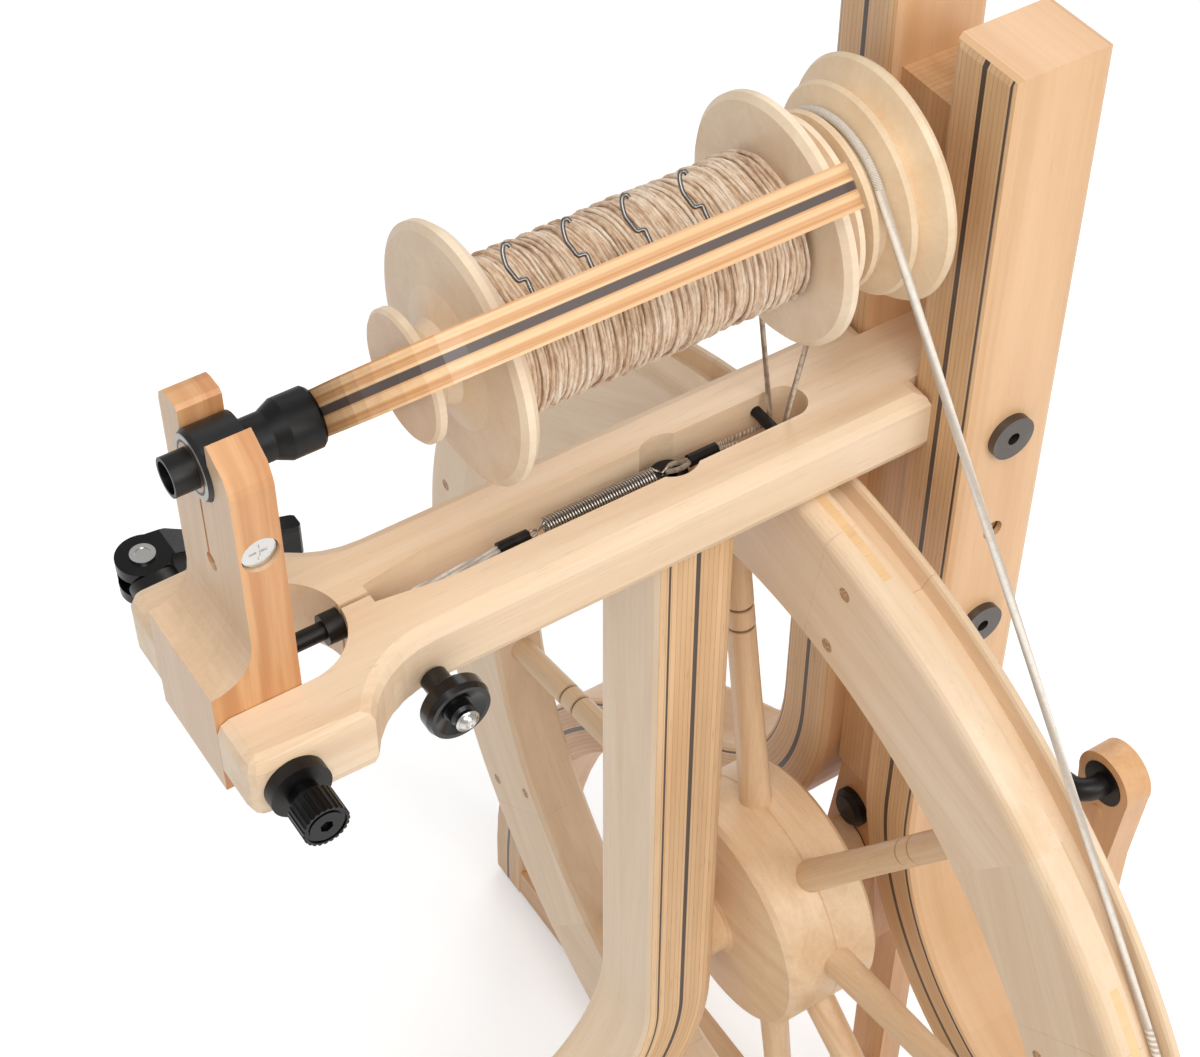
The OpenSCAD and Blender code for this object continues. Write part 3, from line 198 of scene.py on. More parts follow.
def end(material, colour, rough, height=None, depth=0.0001, **more):
    """Feeds the shader with wires and numbers. A height feeds it a bump of that depth, in metres."""
    tree = material.node_tree
    shader = tree.nodes["Principled BSDF"]
    named = {name.replace("_", " "): value for name, value in more.items()}
    for name, value in {"Base Color": colour, "Roughness": rough, **named}.items():
        if isinstance(value, Wire):
            tree.links.new(value.socket, shader.inputs[name])
        else:
            shader.inputs[name].default_value = value
    if height is not None:
        bump = height.node("ShaderNodeBump", {}, {"Strength": 0.6, "Distance": depth, "Height": height})
        tree.links.new(bump.socket, shader.inputs["Normal"])
    return material


def grain(along, across, deep, pale, dark, seed=0.0, figure=0.55, streak=0.5, pores=0.35):
    """Colour, roughness and height of sawn wood, from wires along and across its grain, in metres.

    The bands, lines and hairs of the grain are counted per metre across it."""
    band, line, hair = 62, 520, 2300
    bands = across.noise(along * 5 + seed, across * band + seed, deep * band, 3.0, 0.55, 0.6)
    lines = across.noise(along * 14 + seed, across * line, deep * line + seed, 3.0, 0.6)
    hairs = across.noise(along * 70, across * hair, deep * hair, 2.0, 0.6)
    amount = (bands - 0.5) * (2.2 * figure) + (lines - 0.5) * streak + 0.45
    colour = amount.within(0.0, 1.0).mix(pale, dark)
    marks = hairs.within(0.60, 0.74) * pores
    colour = marks.mix(colour, dimmed(dark, 0.62))
    rough = (lines - 0.5) * 0.10 + marks * 0.12 + 0.42
    return colour, rough, lines * 0.55 + (1 - hairs) * 0.45


def facing(wire, axis):
    """1 on the faces that look along an axis, either way, and 0 on the others."""
    return abs(wire.split("Normal")[axis]) > 0.55


def plies(d, colour, width, seed, lines=0.55):
    """Thin layers glued face to face: each has its own shade, with a fine dark glue line."""
    layer = d / width + seed
    shade = (layer.floor() + 0.5).dice()
    colour = (shade * 0.30).mix(colour, (0.42, 0.24, 0.11, 1.0))
    edge = abs(layer.fract() - 0.5).within(0.40, 0.5) * lines
    return edge.mix(colour, tone(150, 98, 55))


def stripe(d, at, half, colour, dark):
    """One dark layer between the others, with soft edges."""
    return abs(d - at).within(half * 1.12, half * 0.88).mix(colour, dark)


PALE = tone(240, 216, 186)
CREAM = tone(222, 188, 150)
WALNUT = tone(72, 58, 50)
LACQUER = {"Coat_Weight": 0.12, "Coat_Roughness": 0.3}
OIL = {"Coat_Weight": 0.1, "Coat_Roughness": 0.35}


def maple(name, axis, seed, pale=PALE, dark=CREAM, edges=False):
    """Lacquered maple with its grain along one axis.

    If edges is set, the sides and the top above the flyer's axis show a warmer edge grain."""
    material, x, y, z = begin(name)
    along, across, deep = {"X": (x, y, z), "Y": (y, x, z), "Z": (z, x, y)}[axis]
    colour, rough, height = grain(along, across, deep, pale, dark, seed)
    if edges:
        low = across.noise(along * 9, deep * 130 + seed, seed, 4.0, 0.6, 0.4)
        warm = low.within(0.35, 0.65).mix(tone(222, 170, 120), tone(198, 138, 88))
        top = facing(x, "Z") * (z > FLYER.z)
        colour = facing(x, "X").either(top).mix(colour, warm)
    return end(material, colour, rough, height, **LACQUER)


def bent_wood(d, material, z, across, sides, face, marks, seed):
    """Laminations that follow a bend: d is the distance from the centre line, across runs over their width.

    Their edges show on the faces along the axis sides, and the outer layer's face on the others.
    Marks are the dark layers, each with its distance and half its thickness."""
    ply = 0.00205
    colour, rough, height = grain(z, across, d * 0.35, tone(236, 200, 156), tone(212, 166, 116), seed,
                                  0.5, 0.6, 0.4)
    colour = plies(d, colour, ply, seed)
    for at, half in marks:
        colour = stripe(d, at, half, colour, WALNUT)
    flat = grain(z, across, seed, *face, seed + 3, 0.6, 0.4, 0.3)[0]
    colour = facing(z, sides).mix(flat, colour)
    return end(material, colour, rough, height, **OIL)


def bend_distance(u, z, start, r1, r2, turn):
    """Distance from the centre line of a leg that bends outward along u and sweeps back to upright.

    The line is upright at u = start, bends out by r1 and back by r2, and ends upright on the foot pad."""
    low = 0.006
    high = low + (r1 + r2) * sin(turn)
    c1 = start + r1
    c2 = c1 - (r1 + r2) * cos(turn)
    upper = r1 - (u - c1).far(z - high)
    lower = (u - c2).far(z - low) - r2
    below = ((u - c1) * sin(turn) - (z - high) * cos(turn)) > 0
    bent = below * lower + (1 - below) * upper
    straight = z > high
    return straight * (u - start) + (1 - straight) * bent


def rear_leg_wood():
    """The rear legs' laminations, which bend along X, with walnut in the middle and near the outer face."""
    material, x, y, z = begin("rear_leg_plies")
    start, r1, r2, turn = 0.02765, 0.118, 0.341, radians(62.8)
    core, skin = (0.0, 0.0011), (0.0118, 0.0004)
    face = (tone(230, 188, 144), tone(212, 164, 116))
    d = bend_distance(abs(x), z, start, r1, r2, turn)
    return bent_wood(d, material, z, y, "Y", face, (core, skin), 3.0)


def front_leg_wood():
    """The front leg's laminations, which bend along Y, with faces of pale maple."""
    material, x, y, z = begin("front_leg_plies")
    line, r1, r2, turn = WHEEL.y - 0.039, 0.090, 0.312, radians(55)
    core, skin = (0.0, 0.0009), (0.0112, 0.00045)
    d = bend_distance((y - line) * -1, z, 0.0, r1, r2, turn)
    return bent_wood(d, material, z, x, "X", (PALE, CREAM), (core, skin), 8.0)


def flyer_wood():
    """The flyer's laminations, which lie in its own turned plane: amber and pale ones and a dark one."""
    material, x, y, z = begin("flyer_plies")
    pair, core_half = 0.0042, 0.0013
    d = (z - FLYER.z) * cos(FLYER_TURN) - x * sin(FLYER_TURN)
    u = (z - FLYER.z) * sin(FLYER_TURN) + x * cos(FLYER_TURN)
    colour, rough, height = grain(y, u, d, tone(240, 204, 160), tone(222, 172, 118), 5.0, 0.4, 0.6, 0.3)
    odd = abs((d / pair + 0.2).fract() - 0.5).within(0.18, 0.30)
    streaks = d.noise(y * 6, d * 1400, 3.0, 3.0)
    colour = (odd * 0.55 + streaks.within(0.4, 0.7) * 0.35).mix(colour, tone(196, 134, 78))
    colour = stripe(d, 0.0, core_half, colour, tone(84, 70, 64))
    return end(material, colour, rough, height, Coat_Weight=0.25, Coat_Roughness=0.25)


def board_wood(name, axis, ply_axis, seed):
    """Stacked boards with their grain along one axis and their layers across another."""
    material, x, y, z = begin(name)
    ply = 0.0022
    places = {"X": x, "Y": y, "Z": z}
    rest = next(a for a in "XYZ" if a not in (axis, ply_axis))
    colour, rough, height = grain(places[axis], places[rest], places[ply_axis] * 0.4, tone(228, 186, 140),
                                  tone(200, 150, 100), seed, 0.5, 0.6, 0.4)
    colour = plies(places[ply_axis], colour, ply, seed, 0.4)
    return end(material, colour, rough, height, **OIL)


def rim_wood(name, first, seed):
    """Boards round the rim, the first one from an angle in degrees, each with its own grain and shade."""
    material, x, y, z = begin(name)
    up = z - WHEEL.z
    board = 360 / RIM_BOARDS
    angle = x.angle(up) * (180 / pi)
    part = ((angle - first) / board).floor()
    local = (angle - first - part * board - board / 2) * (pi / 180)
    far = x.far(up)
    along, across = far * local.sums("SINE", local), far * local.sums("COSINE", local)
    shade = (part + seed + 0.5).dice()
    colour, rough, height = grain(along + shade * 3, across, y, PALE, CREAM, seed, 0.62, 0.45, 0.3)
    colour = (shade * 0.35).mix(colour, tone(214, 184, 146))
    return end(material, colour, rough, height, **LACQUER)


def spoke_wood():
    """Turned spokes: grain runs out from the axle, with two burnt rings near the rim."""
    material, x, y, z = begin("spoke_wood")
    rings, edge, core = (0.1408, 0.1507), 0.0009, 0.0002
    up = z - WHEEL.z
    far = x.far(up)
    colour, rough, height = grain(far, x.angle(up) * 0.16, y, tone(232, 202, 165), tone(205, 162, 116), 2.0,
                                  0.6, 0.5, 0.4)
    for ring in rings:
        colour = abs(far - ring).within(edge, core).mix(colour, tone(120, 78, 46))
    return end(material, colour, rough, height, **LACQUER)


def turned_wood(name, seed, pale, dark):
    """Wood turned on a lathe about the flyer axis: fine tool rings on the faces."""
    material, x, y, z = begin(name)
    up = z - FLYER.z
    colour, rough, height = grain(y, x, up, pale, dark, seed, 0.45, 0.4, 0.3)
    tool = y.noise(x.far(up) * 900, y * 900, seed, 2.0)
    return end(material, colour, rough + tool * 0.05, height * 0.5 + tool * 0.5, Coat_Weight=0.15,
               Coat_Roughness=0.28)


def end_grain(name, pale, dark):
    """Fine spots on the ends of dowels."""
    material, x, y, z = begin(name)
    spots = x.noise(x * 1500, y * 60, z * 1500, 3.0)
    return end(material, spots.within(0.35, 0.65).mix(pale, dark), spots * 0.1 + 0.5, spots)


def metal(name, colour, rough, wear=0.2, scratch=900.0, metallic=1.0):
    """Metal with faint tool lines, counted per metre by scratch, and handling marks."""
    material, x, y, z = begin(name)
    fine = x.noise(x * scratch, y * scratch * 0.3, z * scratch, 2.0)
    broad = x.noise(x * 60, y * 60, z * 60, 3.0)
    worn = broad.within(0.45, 0.75) * wear
    bright = tuple(min(1.0, c * 1.7 + 0.05) for c in colour[:3]) + (1.0,)
    return end(material, worn.mix(colour, bright), rough + (fine - 0.5) * 0.14 + broad * 0.06, fine, 0.00004,
               Metallic=metallic)


def plastic(name, colour, rough):
    """Moulded plastic with a fine orange-peel skin and dusty low spots."""
    material, x, y, z = begin(name)
    skin = x.noise(x * 700, y * 700, z * 700, 2.0)
    dust = x.noise(x * 120, y * 120, z * 120, 4.0)
    grey = tuple(c + 0.012 for c in colour[:3]) + (1.0,)
    return end(material, dust.within(0.5, 0.8).mix(colour, grey), rough + dust * 0.12, skin, 0.00005,
               Specular_IOR_Level=0.28)


def peg_black():
    """The brake peg: a black knob and flare, and bare steel where the stem crosses the slot."""
    material, x, y, z = begin("peg_black")
    dust = x.noise(x * 120, y * 120, z * 120, 4.0)
    stem_end = 0.012
    steel = x < stem_end
    black = dust.within(0.5, 0.8).mix(tone(14, 13, 13), tone(24, 23, 23))
    colour = steel.mix(black, tone(150, 147, 142))
    return end(material, colour, dust * 0.12 + 0.2, dust, 0.00003, Metallic=steel)


def bearing_black():
    """The flyer's front bearing: a steel ring and a bronze one in its black face."""
    material, x, y, z = begin("bearing_black")
    bronze_r, steel_r0, steel_r1 = 0.0075, 0.0084, 0.0101
    far = x.far(z - FLYER.z)
    front = facing(x, "Y")
    steel = (far > steel_r0) * (far < steel_r1) * front
    bronze = (far < bronze_r) * front
    fine = x.noise(x * 600, y * 600, z * 600, 3.0)
    colour = bronze.mix(steel.mix(tone(20, 19, 19), tone(176, 172, 166)), tone(176, 150, 126))
    return end(material, colour, fine * 0.2 + 0.3, fine, 0.00005, Metallic=steel.either(bronze))


def rubber():
    """Cast rubber of the foot pads."""
    material, x, y, z = begin("foot_rubber")
    cast = x.noise(x * 400, y * 400, z * 400, 3.0)
    return end(material, cast.mix(tone(34, 34, 36), tone(52, 51, 50)), cast * 0.1 + 0.75, cast)


def twisted(name, pale, dark, turns, flecks):
    """Cord of two plies: stripes run round it along its own UV map, with painted shade darkening the grooves
    between the plies.
    """
    material, x, y, z = begin(name)
    uv = x.split("UV")
    phase = (uv["X"] * turns + uv["Y"] * 2) * (2 * pi)
    wave = phase.sums("SINE", phase) * 0.5 + 0.5
    fibre = x.noise(x * 2600, y * 2600, z * 2600, 3.0)
    tuft = x.noise(x * 420, y * 420, z * 420, 2.0)
    # Painted shade: the dark colour follows the low grooves of the twist, where the bump is lowest. The fibre
    # noise and the flecks are the cord's own tone.
    amount = (wave * 0.6 + fibre * 0.5 - 0.1).within(0.1, 0.8)
    colour = amount.mix(dark, pale)
    colour = (tuft.within(0.45, 0.68) * flecks).mix(colour, dimmed(dark, 0.55))
    return end(material, colour, fibre * 0.1 + 0.85, wave * 0.7 + fibre * 0.3, 0.0004, Sheen_Weight=0.25)


def wool():
    """Heathered wool: every strand has its own shade and runs from fawn to cream along its length."""
    material, x, y, z = begin("heather_wool")
    strand = x.noise(x.angle(z - FLYER.z) * 1.1, y * 620, 0.3, 2.0, 0.6, 0.2)
    heather = x.noise(x * 260, y * 800, z * 260, 3.0, 0.7)
    patch = x.noise(x * 30, y * 90, z * 30, 2.0)
    fibre = x.noise(x * 1900, y * 3200, z * 1900, 2.0)
    amount = (strand * 0.55 + heather * 0.6 + patch * 0.25 - 0.22).within(0.22, 0.78)
    colour = amount.node("ShaderNodeValToRGB", {"stops": [
        (0.0, tone(172, 136, 104)), (0.3, tone(212, 180, 148)), (0.6, tone(232, 208, 180)),
        (1.0, tone(247, 236, 220))]}, {0: amount})
    return end(material, colour, fibre * 0.06 + 0.92, fibre * 0.5 + heather * 0.5, 0.0005, Sheen_Weight=0.3)


# Sizes and colours that a user may change


class WheelSizes(bpy.types.PropertyGroup):
    """Sizes of the pieces that are made here."""

    strand: bpy.props.FloatProperty(
        name="Yarn strand", description="Thickness of a strand of the wound yarn", default=0.0013,
        min=0.0008, max=0.003, unit="LENGTH", precision=4)
    layers: bpy.props.IntProperty(
        name="Loose layers", description="Loose windings over the close first layer", default=3, min=1, max=4)
    coils: bpy.props.IntProperty(
        name="Spring coils", description="Turns of the brake spring", default=40, min=28, max=44)
    spring_wire: bpy.props.FloatProperty(
        name="Spring wire", description="Thickness of the brake spring's wire", default=0.0009,
        min=0.0006, max=0.001, unit="LENGTH", precision=4)
    twine: bpy.props.FloatProperty(
        name="Brake twine", description="Thickness of the cord over the bobbin", default=0.0018,
        min=0.001, max=0.002, unit="LENGTH", precision=4)
    band: bpy.props.FloatProperty(
        name="Drive band", description="Thickness of the drive band", default=0.0029,
        min=0.002, max=0.004, unit="LENGTH", precision=4)
    wire: bpy.props.FloatProperty(
        name="Hook wire", description="Thickness of a flyer hook's wire", default=0.0014,
        min=0.001, max=0.002, unit="LENGTH", precision=4)


class WheelLight(bpy.types.PropertyGroup):
    """Light and background."""

    key: bpy.props.FloatProperty(
        name="Key lamp", description="Power of the broad lamp over the wheel", default=17.0,
        min=0.0, max=100.0)
    fill: bpy.props.FloatProperty(
        name="Fill", description="Strength of the light from all round", default=0.50, min=0.0, max=2.0)
    ground: bpy.props.FloatVectorProperty(
        name="Floor", description="Colour of the floor", subtype="COLOR", default=(0.86, 0.86, 0.86),
        min=0.0, max=1.0)


# Helpers for pieces


def keep(name, shape, body, nodes, material):
    """A finished mesh as a piece at the origin, riding on its body. Open ends are capped."""
    if isinstance(shape, bmesh.types.BMesh):
        bmesh.ops.holes_fill(shape, edges=[edge for edge in shape.edges if edge.is_boundary], sides=0)
        bmesh.ops.recalc_face_normals(shape, faces=shape.faces)
        mesh = bpy.data.meshes.new(name)
        shape.to_mesh(mesh)
        shape.free()
    else:
        mesh = shape
        mesh.name = name
    piece = bpy.data.objects.new(name, mesh)
    bpy.context.collection.objects.link(piece)
    mesh.materials.clear()
    mesh.materials.append(material)
    for face in mesh.polygons:
        face.use_smooth = True
    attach(piece, body)
    if nodes:
        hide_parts(*nodes)


def tube(points, radius, closed=False, sides=4):
    """A round cord along points, as a mesh with a UV map along its length."""
    curve = bpy.data.curves.new("cord_line", "CURVE")
    curve.dimensions = "3D"
    curve.bevel_depth = radius
    curve.bevel_resolution = sides
    curve.use_fill_caps = not closed
    line = curve.splines.new("POLY")
    line.points.add(len(points) - 1)
    for spot, point in zip(line.points, points):
        spot.co = (*point, 1.0)
    line.use_cyclic_u = closed
    carrier = bpy.data.objects.new("cord_line", curve)
    bpy.context.collection.objects.link(carrier)
    bpy.context.view_layer.update()
    mesh = bpy.data.meshes.new_from_object(carrier.evaluated_get(bpy.context.evaluated_depsgraph_get()))
    bpy.data.objects.remove(carrier)
    bpy.data.curves.remove(curve)
    return mesh


def joined(meshes):
    """Several meshes as one."""
    shape = bmesh.new()
    for mesh in meshes:
        shape.from_mesh(mesh)
        bpy.data.meshes.remove(mesh)
    return shape


def coil(shape, start, radius, thick, turns, rise, steps):
    """Adds a coil of wire about the line along Y through start, with a rise for each turn.

    A small circle above start is spun and moved on at each step."""
    axis, out, side = Vector((0, 1, 0)), Vector((0, 0, 1)), Vector((1, 0, 0))
    ring = bmesh.ops.create_circle(shape, segments=6, radius=thick / 2)["verts"]
    turn = Matrix((out, axis, side)).transposed().to_4x4()
    bmesh.ops.transform(shape, matrix=Matrix.Translation(start + out * radius) @ turn, verts=ring)
    edges = list(dict.fromkeys(edge for vert in ring for edge in vert.link_edges))
    count = int(turns * steps)
    bmesh.ops.spin(shape, geom=ring + edges, cent=(start.x, 0, start.z), axis=axis,
                   dvec=axis * (rise / steps), angle=2 * pi * count / steps, steps=count,
                   use_duplicate=False)


def smooth_path(corners, steps=8):
    """A soft line through corners, each pair joined by an eased span."""
    points = []
    ends = [corners[0], *corners, corners[-1]]
    for a, b, c, d in zip(ends, ends[1:], ends[2:], ends[3:]):
        a, b, c, d = (Vector(p) for p in (a, b, c, d))
        for i in range(steps):
            t = i / steps
            points.append(0.5 * (2 * b + (c - a) * t + (2 * a - 5 * b + 4 * c - d) * t * t
                                 + (3 * b - a - 3 * c + d) * t ** 3))
    return [*points, Vector(corners[-1])]


def bow(y, centre_z, radius, first, last, steps):
    """Points of an arc in the plane at y, about the axis at x = 0, from one angle to another."""
    angles = (first + (last - first) * i / steps for i in range(steps + 1))
    return [(radius * cos(a), y, centre_z + radius * sin(a)) for a in angles]


def dress(table):
    """Gives CAD nodes their materials."""
    for material, nodes in table:
        for name in nodes:
            mesh = frame["nodes"][name].data
            mesh.materials.clear()
            mesh.materials.append(material)


# Operators


class WHEEL_OT_woods(bpy.types.Operator):
    """Finish the frame, the wheel, the flyer and the treadles in their woods"""

    bl_idname = "wheel.woods"
    bl_label = "Finish the woods"

    def execute(self, context):
        board = 360 / RIM_BOARDS
        footmen = maple("footman_wood", "Z", 9.0, tone(226, 178, 128), tone(200, 146, 96))
        hub = maple("hub_maple", "X", 11.0, tone(236, 206, 168), tone(212, 172, 128))
        maiden = maple("maiden_maple", "Z", 7.0, tone(232, 202, 170), tone(214, 178, 140), True)
        treadles = maple("treadle_maple", "Y", 13.0, tone(234, 200, 160), tone(212, 170, 126))
        dress([
            (rear_leg_wood(), ["rear_leg_left", "rear_leg_right"]),
            (front_leg_wood(), ["front_post"]),
            (maple("arm_maple", "Y", 4.0), ["mother_of_all"]),
            (maiden, ["front_maiden"]),
            (rim_wood("rim_boards", 8.2 - board, 1.0), [f"rim_segment_{k + 1}" for k in range(RIM_BOARDS)]),
            (rim_wood("ridge_boards", 14.6 - board, 9.0), ["rim_back"]),
            (spoke_wood(), ["spokes"]),
            (hub, ["hub_front", "hub_rear"]),
            (end_grain("dowel_ends", tone(206, 164, 122), tone(150, 106, 70)), ["rim_dowels"]),
            (maple("spline_wood", "Y", 2.5, tone(240, 206, 158), tone(226, 184, 132)), ["rim_splines"]),
            (flyer_wood(), ["flyer"]),
            (turned_wood("bobbin_wood", 1.0, tone(242, 222, 194), tone(226, 198, 164)), ["bobbin"]),
            (turned_wood("whorl_wood", 6.0, tone(240, 218, 186), tone(222, 192, 154)), ["flyer_whorl"]),
            (board_wood("post_boards", "Z", "X", 3.0), ["spacer_board", "bearing_block"]),
            (maple("block_wood", "Z", 5.0, tone(214, 164, 112), tone(186, 132, 84)), ["axle_block"]),
            (board_wood("base_boards", "Y", "Z", 4.0), ["keel"]),
            (treadles, ["treadle_left", "treadle_right"]),
            (board_wood("cross_boards", "X", "Z", 6.0), ["rear_crossbar"]),
            (footmen, ["footman_left", "footman_right"]),
        ])
        return {"FINISHED"}


class WHEEL_OT_metals(bpy.types.Operator):
    """Finish the bolts, the crank, the tube, the plastic fittings and the feet"""

    bl_idname = "wheel.metals"
    bl_label = "Finish the metals and plastics"

    def execute(self, context):
        dress([
            (metal("black_oxide", tone(26, 24, 23), 0.38, 0.12, metallic=0.4),
             ["crank_axle", "brake_pin", "post_bolt", "block_bolt", "stop_screw", "skewer", "treadle_rod"]),
            (metal("gunmetal", tone(96, 90, 86), 0.33, 0.3, metallic=0.85), ["side_bolts", "axle_bearings"]),
            (metal("tube_black", tone(20, 18, 17), 0.36, 0.12, metallic=0.3), ["orifice_tube"]),
            (metal("screw_steel", tone(206, 204, 200), 0.2), ["maiden_screw", "lever_pin"]),
            (plastic("gloss_black", tone(9, 8, 8), 0.2), ["release_lever", "knurled_nut"]),
            (plastic("satin_black", tone(15, 14, 14), 0.36),
             ["flyer_bush", "bush_left", "bush_right", "flyer_cup", "cord_sleeves"]),
            (peg_black(), ["brake_peg"]),
            (bearing_black(), ["maiden_bearing"]),
            (rubber(), ["foot_pads"]),
        ])
        return {"FINISHED"}


class WHEEL_OT_yarn(bpy.types.Operator):
    """Wind the wool on the bobbin: a close first layer and loose windings over it"""

    bl_idname = "wheel.yarn"
    bl_label = "Wind the yarn"

    def execute(self, context):
        sizes = context.scene.wheel_sizes
        strand = sizes.strand
        margin, core_drop, close_drop, loose_drop, steps = 0.0008, 0.0024, 0.0016, 0.0009, 30
        low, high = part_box("yarn")
        first, last = low[1] + margin, high[1] - margin
        middle = (first + last) / 2
        top = (high[2] - low[2]) / 2 - strand * 0.55
        shape = bmesh.new()
        core = bmesh.ops.create_cone(shape, segments=48, radius1=top - core_drop, radius2=top - core_drop,
                                     depth=last - first, cap_ends=True)["verts"]
        place = Matrix.Translation((0, middle, FLYER.z)) @ Matrix.Rotation(pi / 2, 4, "X")
        bmesh.ops.transform(shape, matrix=place, verts=core)
        pitch = strand * 0.97
        start = Vector((0, first + strand / 2, FLYER.z))
        span = last - first - strand
        coil(shape, start, top - close_drop, strand, span / pitch, pitch, steps)

        axis = Matrix.Translation((0, 0, FLYER.z))
        centre = Matrix.Translation((0, middle, 0))
        flip = centre @ Matrix.Scale(-1, 4, (0, 1, 0)) @ centre.inverted()
        for k, rise in zip(range(sizes.layers), (0.0042, 0.0064, 0.0051, 0.0075)):
            before = set(shape.verts)
            coil(shape, start + Vector((0, 0.0004 * k, 0)), top - loose_drop + 0.0003 * k, strand * 0.94,
                 (span - 0.001) / rise, rise, steps)
            fresh = [v for v in shape.verts if v not in before]
            turn = axis @ Matrix.Rotation(2.1 * k, 4, "Y") @ axis.inverted()
            bmesh.ops.transform(shape, matrix=turn, verts=fresh)
            if k % 2:
                bmesh.ops.transform(shape, matrix=flip, verts=fresh)
        self.loosen(shape, first, last)
        keep("yarn_wound", shape, "bobbin", ["yarn"], wool())
        return {"FINISHED"}

    def loosen(self, shape, first, last):
        """Lets the strands rise, sink and wander a little, as hand-wound yarn does."""
        rise, swell, sink, wander = 0.0005, 0.0014, 0.0004, 0.0008
        for vert in shape.verts:
            flat = Vector((vert.co.x, 0, vert.co.z - FLYER.z))
            if flat.length < 0.01:
                continue
            angle = atan2(flat.z, flat.x)
            wave = noise.noise(Vector((cos(angle) * 1.6, vert.co.y * 150, sin(angle) * 1.6)))
            hill = noise.noise(Vector((3.0, vert.co.y * 62, 1.0)))
            vert.co += flat.normalized() * (wave * rise + min(hill, 0.2) * swell - sink)
            shift = noise.noise(Vector((cos(angle) * 2.2 + 7, vert.co.y * 90, sin(angle) * 2.2))) * wander
            vert.co.y = min(max(vert.co.y + shift, first), last)


class WHEEL_OT_band(bpy.types.Operator):
    """String the drive band round the rim and the whorl"""

    bl_idname = "wheel.band"
    bl_label = "String the drive band"

    def execute(self, context):
        rim_r, whorl_r = 0.24290, 0.02705
        lean = asin((rim_r - whorl_r) / (FLYER.z - WHEEL.z))
        low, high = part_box("drive_band")
        y = (low[1] + high[1]) / 2
        spots = bow(y, WHEEL.z, rim_r, pi - lean, 2 * pi + lean, 192)
        spots += bow(y, FLYER.z, whorl_r, lean, pi - lean, 40)
        cotton = twisted("band_cotton", tone(232, 224, 212), tone(186, 172, 156), 620, 0.12)
        cord = tube(spots, context.scene.wheel_sizes.band / 2, True)
        keep("drive_band_cord", cord, "frame", ["drive_band"], cotton)
        return {"FINISHED"}


class WHEEL_OT_brake(bpy.types.Operator):
    """Make the brake: the loop on its peg, the spring and the cord over the bobbin"""

    bl_idname = "wheel.brake"
    bl_label = "String the brake"

    def execute(self, context):
        sizes = context.scene.wheel_sizes
        low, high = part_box("brake_spring")
        line = (low[2] + high[2]) / 2
        front, rear = (corner[1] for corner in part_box("cord_sleeves"))
        self.spring(sizes, low, high, line)
        self.twine(sizes.twine / 2, rear, line)
        self.loop(front, line)
        return {"FINISHED"}

    def spring(self, sizes, low, high, line):
        """Close coils along the slot, with a hook of wire at each end."""
        wire, eye = sizes.spring_wire, 0.0054
        radius = (high[2] - low[2]) / 2 - wire / 2
        first, last = low[1] + eye + wire, high[1] - eye - wire
        shape = bmesh.new()
        coil(shape, Vector((0, first, line)), radius, wire, sizes.coils, (last - first) / sizes.coils, 20)
        spring = bpy.data.meshes.new("spring_coil")
        shape.to_mesh(spring)
        shape.free()
        route = [(0, 0, radius), (0.0006, 0.0012, radius * 0.8), (0.0002, 0.0028, 0.0004),
                 (0, 0.0052, 0.0016), (0, 0.0066, 0), (0, 0.005, -0.0016), (0, 0.003, -0.0008)]
        hooks = [tube(smooth_path([(x, at + way * y, line + z) for x, y, z in route]), wire / 2, sides=2)
                 for at, way in ((first, -1), (last, 1))]
        steel = metal("spring_steel", tone(176, 174, 170), 0.25, scratch=90.0)
        keep("spring_wound", joined([spring, *hooks]), "frame", ["brake_spring"], steel)

    def twine(self, half, rear, line):
        """Two ends run back from the rear sleeve, under the pin and over the bobbin's groove."""
        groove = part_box("brake_cord")[1]
        y, radius = groove[1] - half, groove[2] - half - FLYER.z
        foot_x, foot_z = 0.0036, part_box("brake_pin")[0][2] - 0.0012
        rise = FLYER.z - foot_z
        lean = atan2(rise, foot_x) - acos(radius / hypot(foot_x, rise))
        side = [(0.0011, rear - 0.001, line), (0.0012, rear + 0.004, line - 0.0002),
                (0.0030, y - 0.006, foot_z + 0.0004), (0.0035, y - 0.0016, foot_z + 0.0001),
                (0.0038, y - 0.0002, foot_z + 0.0012), (0.0041, y, foot_z + 0.005)]
        other = [(-x, *rest) for x, *rest in reversed(side)]
        top = bow(y, FLYER.z, radius, -lean, pi + lean, 40)
        over = [Vector(p) for p in (side[-1], *top, other[0])]
        cord = smooth_path(side, 6)[:-1] + over + smooth_path(other, 6)[1:]
        tip = rear - 0.011
        eye = [(0.0003, 0.001, 0), (0.0016, -0.003, 0.0004), (0.0017, -0.006, 0.0006),
               (0.0004, -0.0085, 0.0004), (-0.0014, -0.006, 0.0004), (-0.0013, -0.003, 0),
               (-0.0003, 0.001, 0)]
        ring = smooth_path([(a, tip + b, line + c) for a, b, c in eye])
        tan = twisted("brake_twine", tone(206, 188, 164), tone(138, 114, 92), 150, 0.55)
        keep("brake_cord_twine", joined([tube(cord, half), tube(ring, half)]), "frame", ["brake_cord"],
             tan)

    def loop(self, front, line):
        """Two white cords side by side, from the front sleeve round the peg's stem."""
        stem_r, half, gap = 0.0025, 0.00085, 0.00035
        radius = stem_r + half + gap
        angles = [radians(20 + 12 * i) for i in range(29)]
        lines = []
        for x in (-0.0007, 0.0014):
            ring = [(x, PEG.y - radius * sin(a), PEG.z + radius * cos(a)) for a in angles]
            tail = [(x * 0.9, front - 0.03, line - 0.0015), (x * 0.7, front + 0.001, line)]
            lines.append(tube(ring + tail, half))
        white = twisted("loop_cotton", tone(240, 236, 228), tone(190, 182, 172), 60, 0.25)
        keep("brake_loop_cord", joined(lines), "frame", ["brake_loop"], white)


